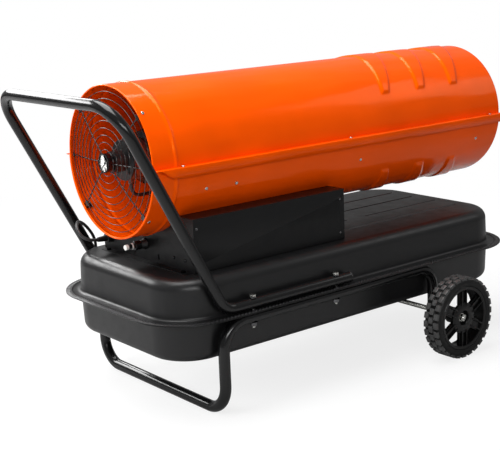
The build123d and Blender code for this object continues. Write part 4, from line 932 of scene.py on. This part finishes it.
def wheel_centre():
    """Rim and hub, joined by box spokes with two ribs each."""
    bm = bmesh.new()
    turned(bm, RIM_OUTLINE, RIM_STEPS)
    turned(bm, HUB_OUTLINE, HUB_STEPS)
    for k in range(SPOKES):
        place = Matrix.Rotation((k + 0.5) * 2 * math.pi / SPOKES, 4, "Z")
        start, end, half, low, high = SPOKE_WEB
        box_between(bm, (start, -half, low), (end, half, high), place, SPOKE_EDGE)
        start, end, offset, wide, low, high = SPOKE_RIB
        for side in (-1, 1):
            left, right = side * offset - wide / 2, side * offset + wide / 2
            box_between(bm, (start, left, low), (end, right, high), place, SPOKE_EDGE)
    return bm


def tyre_body():
    bm = bmesh.new()
    turned(bm, TYRE_OUTLINE, TYRE_STEPS)
    return bm


def wheel_place(side):
    """Matrix that puts the wheel's outer face outward on the near (-1) or the far (1) side."""
    face_y = abs(corners("tyre_near")[0].y) * side
    turn = Matrix(((1, 0, 0), (0, 0, side), (0, -side, 0))).to_4x4()
    return Matrix.Translation((axle_x, face_y, wheel_z)) @ turn


# %% Place the wheels
for side_name, side in (("near", -1), ("far", 1)):
    tyre, rim = "tyre_" + side_name, "wheel_rim_" + side_name
    # The tread blocks take the lighter grey rubber, a painted highlight on the black tyre.
    for name, made, finish, node, whole in (
            (tyre + "_body", tyre_body(), tyre_rubber, tyre, True),
            (tyre + "_tread", tread_blocks(), tread_highlight_rubber, tyre, False),
            ("wheel_" + side_name + "_centre", wheel_centre(), wheel_plastic, rim, True)):
        bmesh.ops.transform(made, matrix=wheel_place(side), verts=made.verts)
        finish_piece(name, mesh_of(made, name), finish, [node], TUBE_ANGLE, stands_for=whole)

# %% [markdown]
# ## Bridge plug
# The plug in the small socket has a dark body; its white end and ring are painted reflections of plated
# metal.

# %% Bridge plug: (radius, distance behind the rim) in mm
PLUG_FACE = 30.0
PLUG_OUTLINE = [(0, PLUG_FACE), (5.4, PLUG_FACE), (6.2, 30.8), (6.2, 37.5), (4.8, 38), (4.8, 45),
                (7.4, 45.4), (7.4, 49.4), (5.6, 50), (5.6, 54), (9.6, 54), (10.5, 55), (10.5, 69),
                (7.4, 69.8), (7.4, 87), (0, 87)]
PLUG_STEPS = 48
# Spans behind the rim whose faces take the white painted reflection.
PLUG_HIGHLIGHT_SPANS = ((PLUG_FACE - 0.1, 37.6), (45.2, 49.6))


def bridge_plug():
    """Plug turned about its axis and laid along the barrel's."""
    bm = bmesh.new()
    turned(bm, PLUG_OUTLINE, PLUG_STEPS, closed=False)
    seat = middle("bridge_plug")
    along = Matrix.Translation((RIM_X, seat.y, seat.z)) @ Matrix.Rotation(math.pi / 2, 4, "Y")
    bmesh.ops.transform(bm, matrix=along, verts=bm.verts)
    return mesh_of(bm, "bridge_plug_body")


plug_piece = finish_piece("bridge_plug_body", bridge_plug(), gloss_plastic, ["bridge_plug"], ROUND_ANGLE)
# Faces in these spans get the white painted reflection of plated metal.
plug_piece.data.materials.append(plug_highlight_white)
for polygon in plug_piece.data.polygons:
    behind = (polygon.center.x - RIM_X) / MM
    polygon.material_index = int(any(start < behind < end for start, end in PLUG_HIGHLIGHT_SPANS))

# %% [markdown]
# ## Fan guard
# Nine wire rings stand on six spokes and bulge a little out of the intake. Each spoke ends in a small eye,
# and four clips take the screws through the barrel.

# %% Guard, in mm; angles in degrees up from the near side
RING_COUNT = 9
RING_FIRST, RING_LAST = 29.0, 153.0
RING_STEPS = 120
WIRE_R = 0.95
WIRE_SIDES = 8
SPOKE_R = 1.5
SPOKE_FROM, SPOKE_TO = 25.0, 154.0
GUARD_SEAT = 4.0
GUARD_BULGE = 12.0
EYE_AT = 158.5
EYE_R = 4.5
EYE_WIRE_R = 1.3
SPOKE_STEPS, EYE_STEPS = 12, 14
GUARD_ANGLES = (43.0, -43.0, 137.0, -137.0)
SPOKE_ANGLES = GUARD_ANGLES + (0.0, 180.0)
CLIP_FOOT = ((3.8, -6, 150), (5.4, 6, 166.5))
CLIP_FLAP = ((3.8, -6, 165.0), (20, 6, 166.6))


def round_place(distance, radius, angle):
    """Place on the barrel: distance behind the rim and radius in mm, angle up from the near side."""
    turn = math.radians(angle)
    out, up = -radius * math.cos(turn) * MM, radius * math.sin(turn) * MM
    return Vector((RIM_X + distance * MM, out, AXIS_Z + up))


def guard_depth(radius):
    """How far behind the rim the domed guard is at this radius."""
    return GUARD_SEAT - GUARD_BULGE * (1 - (radius / RING_LAST) ** 2)


def guard_wires(bm):
    """Rings of wire on the dome."""
    for k in range(RING_COUNT):
        radius = RING_FIRST + (RING_LAST - RING_FIRST) * k / (RING_COUNT - 1)
        place = Matrix.Translation(round_place(guard_depth(radius), radius, 90))
        place = place @ Matrix.Rotation(math.pi / 2, 4, "X")
        circle = bmesh.ops.create_circle(bm, cap_ends=False, segments=WIRE_SIDES, radius=WIRE_R * MM,
                                         matrix=place)["verts"]
        edges = list({edge for vert in circle for edge in vert.link_edges})
        bmesh.ops.spin(bm, geom=circle + edges, cent=(0, 0, AXIS_Z), axis=(1, 0, 0), angle=2 * math.pi,
                       steps=RING_STEPS, use_merge=True)


def guard_spokes(bm):
    """Spokes that follow the dome behind the rings, each with an eye at its outer end."""
    reach = [SPOKE_FROM + (SPOKE_TO - SPOKE_FROM) * k / SPOKE_STEPS for k in range(SPOKE_STEPS + 1)]
    for angle in SPOKE_ANGLES:
        path = [round_place(guard_depth(radius) + WIRE_R + SPOKE_R, radius, angle) for radius in reach]
        sweep_round(bm, path, SPOKE_R * MM, WIRE_SIDES)
        eye_middle = round_place(guard_depth(RING_LAST) + WIRE_R + SPOKE_R, EYE_AT, angle)
        out = (path[-1] - path[-2]).normalized()
        side = out.cross(Vector((1, 0, 0)))
        eye = [eye_middle + EYE_R * MM * (math.cos(t) * out + math.sin(t) * side)
               for t in [2 * math.pi * k / EYE_STEPS for k in range(EYE_STEPS + 1)]]
        sweep_round(bm, eye, EYE_WIRE_R * MM, WIRE_SIDES)


guard_bm = bmesh.new()
guard_wires(guard_bm)
guard_spokes(guard_bm)
finish_piece("guard_wires", mesh_of(guard_bm, "guard_wires"), guard_plate, ["fan_guard"], WIRE_ANGLE)


def guard_clips():
    """Bent clips that the guard's screws hold to the inside of the barrel."""
    bm = bmesh.new()
    for angle in GUARD_ANGLES:
        place = Matrix.Translation((RIM_X, 0, AXIS_Z)) @ Matrix.Rotation(math.radians(90 - angle), 4, "X")
        for low, high in (CLIP_FOOT, CLIP_FLAP):
            box_between(bm, low, high, place)
    return mesh_of(bm, "guard_clips")


finish_piece("guard_clips", guard_clips(), guard_plate, ["fan_guard"], ROUND_ANGLE, stands_for=False)

# %% [markdown]
# ## Pressure gauge
# The gauge keeps its turned case and lens and gets a white dial with a scale over three quarters of a turn.

# %% Dial, in mm
DIAL_R = 18.8
DIAL_STEPS = 64
DIAL_DEPTH = -8.6
DIAL_TURN = 270
DIAL_MARKS = 24
LONG_EVERY = 6
LONG_MARK, SHORT_MARK = (3.6, 0.8), (2.0, 0.4)  # length, width
MARK_MARGIN = 1.2
MARK_LIFT = 0.15
MARK_HALF = 0.1


def dial_place(radius, angle, lift=0.0):
    """Place on the dial: angle 0 points up and grows clockwise for someone who looks into the intake."""
    turn = math.radians(angle)
    middle_place = Vector((RIM_X + (DIAL_DEPTH - lift) * MM, 0, AXIS_Z))
    return middle_place + Vector((0, -radius * math.sin(turn), radius * math.cos(turn))) * MM


def dial_disc():
    """Round dial that faces out of the intake."""
    bm = bmesh.new()
    facing = Matrix.Rotation(-math.pi / 2, 4, "Y")
    bmesh.ops.create_circle(bm, cap_ends=True, segments=DIAL_STEPS, radius=DIAL_R * MM,
                            matrix=Matrix.Translation(dial_place(0, 0)) @ facing)
    return mesh_of(bm, "dial")


def dial_marks():
    """Scale of short marks with a long one at every sixth."""
    bm = bmesh.new()
    for k in range(DIAL_MARKS + 1):
        angle = -DIAL_TURN / 2 + DIAL_TURN * k / DIAL_MARKS
        long, wide = SHORT_MARK if k % LONG_EVERY else LONG_MARK
        place = Matrix.Translation(dial_place(DIAL_R - MARK_MARGIN - long / 2, angle, MARK_LIFT))
        turn = Matrix.Rotation(math.radians(angle), 4, "X")
        high = (MARK_HALF, wide / 2, long / 2)
        box_between(bm, [-half for half in high], high, place @ turn)
    return mesh_of(bm, "dial_marks")


finish_piece("gauge_dial", dial_disc(), dial_white, ["gauge_case"], ROUND_ANGLE, stands_for=False)
finish_piece("gauge_marks", dial_marks(), black_plastic, ["gauge_case"], ROUND_ANGLE, stands_for=False)

# %% [markdown]
# ## Floor and light
# The floor is pale and fades to white. One large soft lamp hangs above, one stands before the intake and
# a broad one behind; a weaker narrow one on the camera's side and a small one off the outlet draw the soft
# bands on the barrel. Rays from the camera see a plain white world, and gloss sees a part of it.

# %% Floor
FLOOR_SIZE = 15.0
FLOOR_GLOW = 0.80  # share of plain white near the heater, for the camera
FLOOR_CLEAR = (1.1, 2.4)  # distances between which that share grows to the whole
FLOOR_GREYS = (0.34, 0.85)  # for reflections and bounced light, and for the camera


def stage_floor():
    """Pale floor that keeps a soft shadow near the heater and turns plain white further out."""
    bm = bmesh.new()
    bmesh.ops.create_grid(bm, x_segments=1, y_segments=1, size=FLOOR_SIZE)
    mesh = mesh_of(bm, "floor")
    material = bpy.data.materials.new("floor_white")
    material.use_nodes = True
    tree, shader = material.node_tree, shader_of(material)
    set_sockets(shader, {"Roughness": 0.9, "Specular IOR Level": 0.1})
    coordinates = new_node(tree, "TexCoord")
    distance = new_node(tree, "VectorMath", "LENGTH")
    spread = new_node(tree, "MapRange")
    spread.interpolation_type = "SMOOTHSTEP"
    start, end = FLOOR_CLEAR
    set_sockets(spread, {"From Min": start, "From Max": end, "To Min": FLOOR_GLOW, "To Max": 1.0})
    path = new_node(tree, "LightPath")
    grey = new_node(tree, "MapRange")
    set_sockets(grey, {"To Min": FLOOR_GREYS[0], "To Max": FLOOR_GREYS[1]})
    share = new_node(tree, "Math", "MULTIPLY")
    glow = new_node(tree, "Emission")
    mix = new_node(tree, "MixShader")
    join(
        tree,
        (path.outputs["Is Camera Ray"], grey.inputs["Value"]),
        (grey.outputs["Result"], shader.inputs["Base Color"]),
        (coordinates.outputs["Object"], distance.inputs[0]),
        (distance.outputs["Value"], spread.inputs["Value"]),
        (spread.outputs["Result"], share.inputs[0]),
        (path.outputs["Is Camera Ray"], share.inputs[1]),
        (share.outputs[0], mix.inputs["Fac"]),
        (shader.outputs[0], mix.inputs[1]),
        (glow.outputs[0], mix.inputs[2]),
        (mix.outputs[0], tree.nodes["Material Output"].inputs["Surface"]))
    mesh.materials.append(material)
    floor = add_object("floor", mesh)


stage_floor()

# %% World


def set_world(sky, background, mirrored):
    """Soft grey light from all round; the camera and clear things see white, and gloss a part of it."""
    world = bpy.data.worlds.new("studio")
    bpy.context.scene.world = world
    world.use_nodes = True
    tree = world.node_tree
    soft = tree.nodes["Background"]
    set_sockets(soft, {"Color": WHITE, "Strength": sky})
    white = new_node(tree, "Background", Color=WHITE, Strength=background)
    path = new_node(tree, "LightPath")
    mix = new_node(tree, "MixShader")
    clear = new_node(tree, "Math", "MAXIMUM")
    gloss = new_node(tree, "Math", "MULTIPLY_ADD")
    gloss.use_clamp = True
    set_sockets(gloss, {1: mirrored})
    join(
        tree,
        (path.outputs["Is Camera Ray"], clear.inputs[0]),
        (path.outputs["Is Transmission Ray"], clear.inputs[1]),
        (path.outputs["Is Glossy Ray"], gloss.inputs[0]),
        (clear.outputs["Value"], gloss.inputs[2]),
        (gloss.outputs["Value"], mix.inputs["Fac"]),
        (soft.outputs[0], mix.inputs[1]),
        (white.outputs[0], mix.inputs[2]),
        (mix.outputs[0], tree.nodes["World Output"].inputs["Surface"]))


set_world(sky=0.14, background=1.0, mirrored=0.12)

# %% Lamps


def soft_lamp(name, place, target, width, height, power, mirrored=True):
    """Rectangular lamp aimed at a place; one that isn't mirrored leaves no highlight."""
    data = bpy.data.lights.new(name, "AREA")
    data.shape = "RECTANGLE"
    data.size = width
    data.size_y = height
    data.energy = power
    lamp = add_object(name, data)
    lamp.visible_glossy = mirrored
    lamp.location = place
    lamp.rotation_euler = (Vector(target) - Vector(place)).to_track_quat("-Z", "Y").to_euler()


soft_lamp("top_lamp", (-0.4, 0.4, 3.0), (0, 0.1, 0.4), 3.4, 2.0, 125.0)
soft_lamp("intake_lamp", (-3.2, 0.2, 1.6), (-0.3, 0, 0.4), 2.0, 1.4, 95.0, mirrored=False)
soft_lamp("near_lamp", (-1.5, -3.2, 1.7), (-0.1, 0, 0.45), 2.2, 0.6, 36.0)
soft_lamp("ledge_lamp", (2.6, -1.5, 2.2), (0.2, -0.1, 0.5), 0.9, 1.3, 5.0)
soft_lamp("back_lamp", (-0.8, 3.3, 2.2), (-0.2, 0, 0.4), 4.0, 0.9, 120.0)
bpy.context.scene.view_settings.view_transform = "Standard"
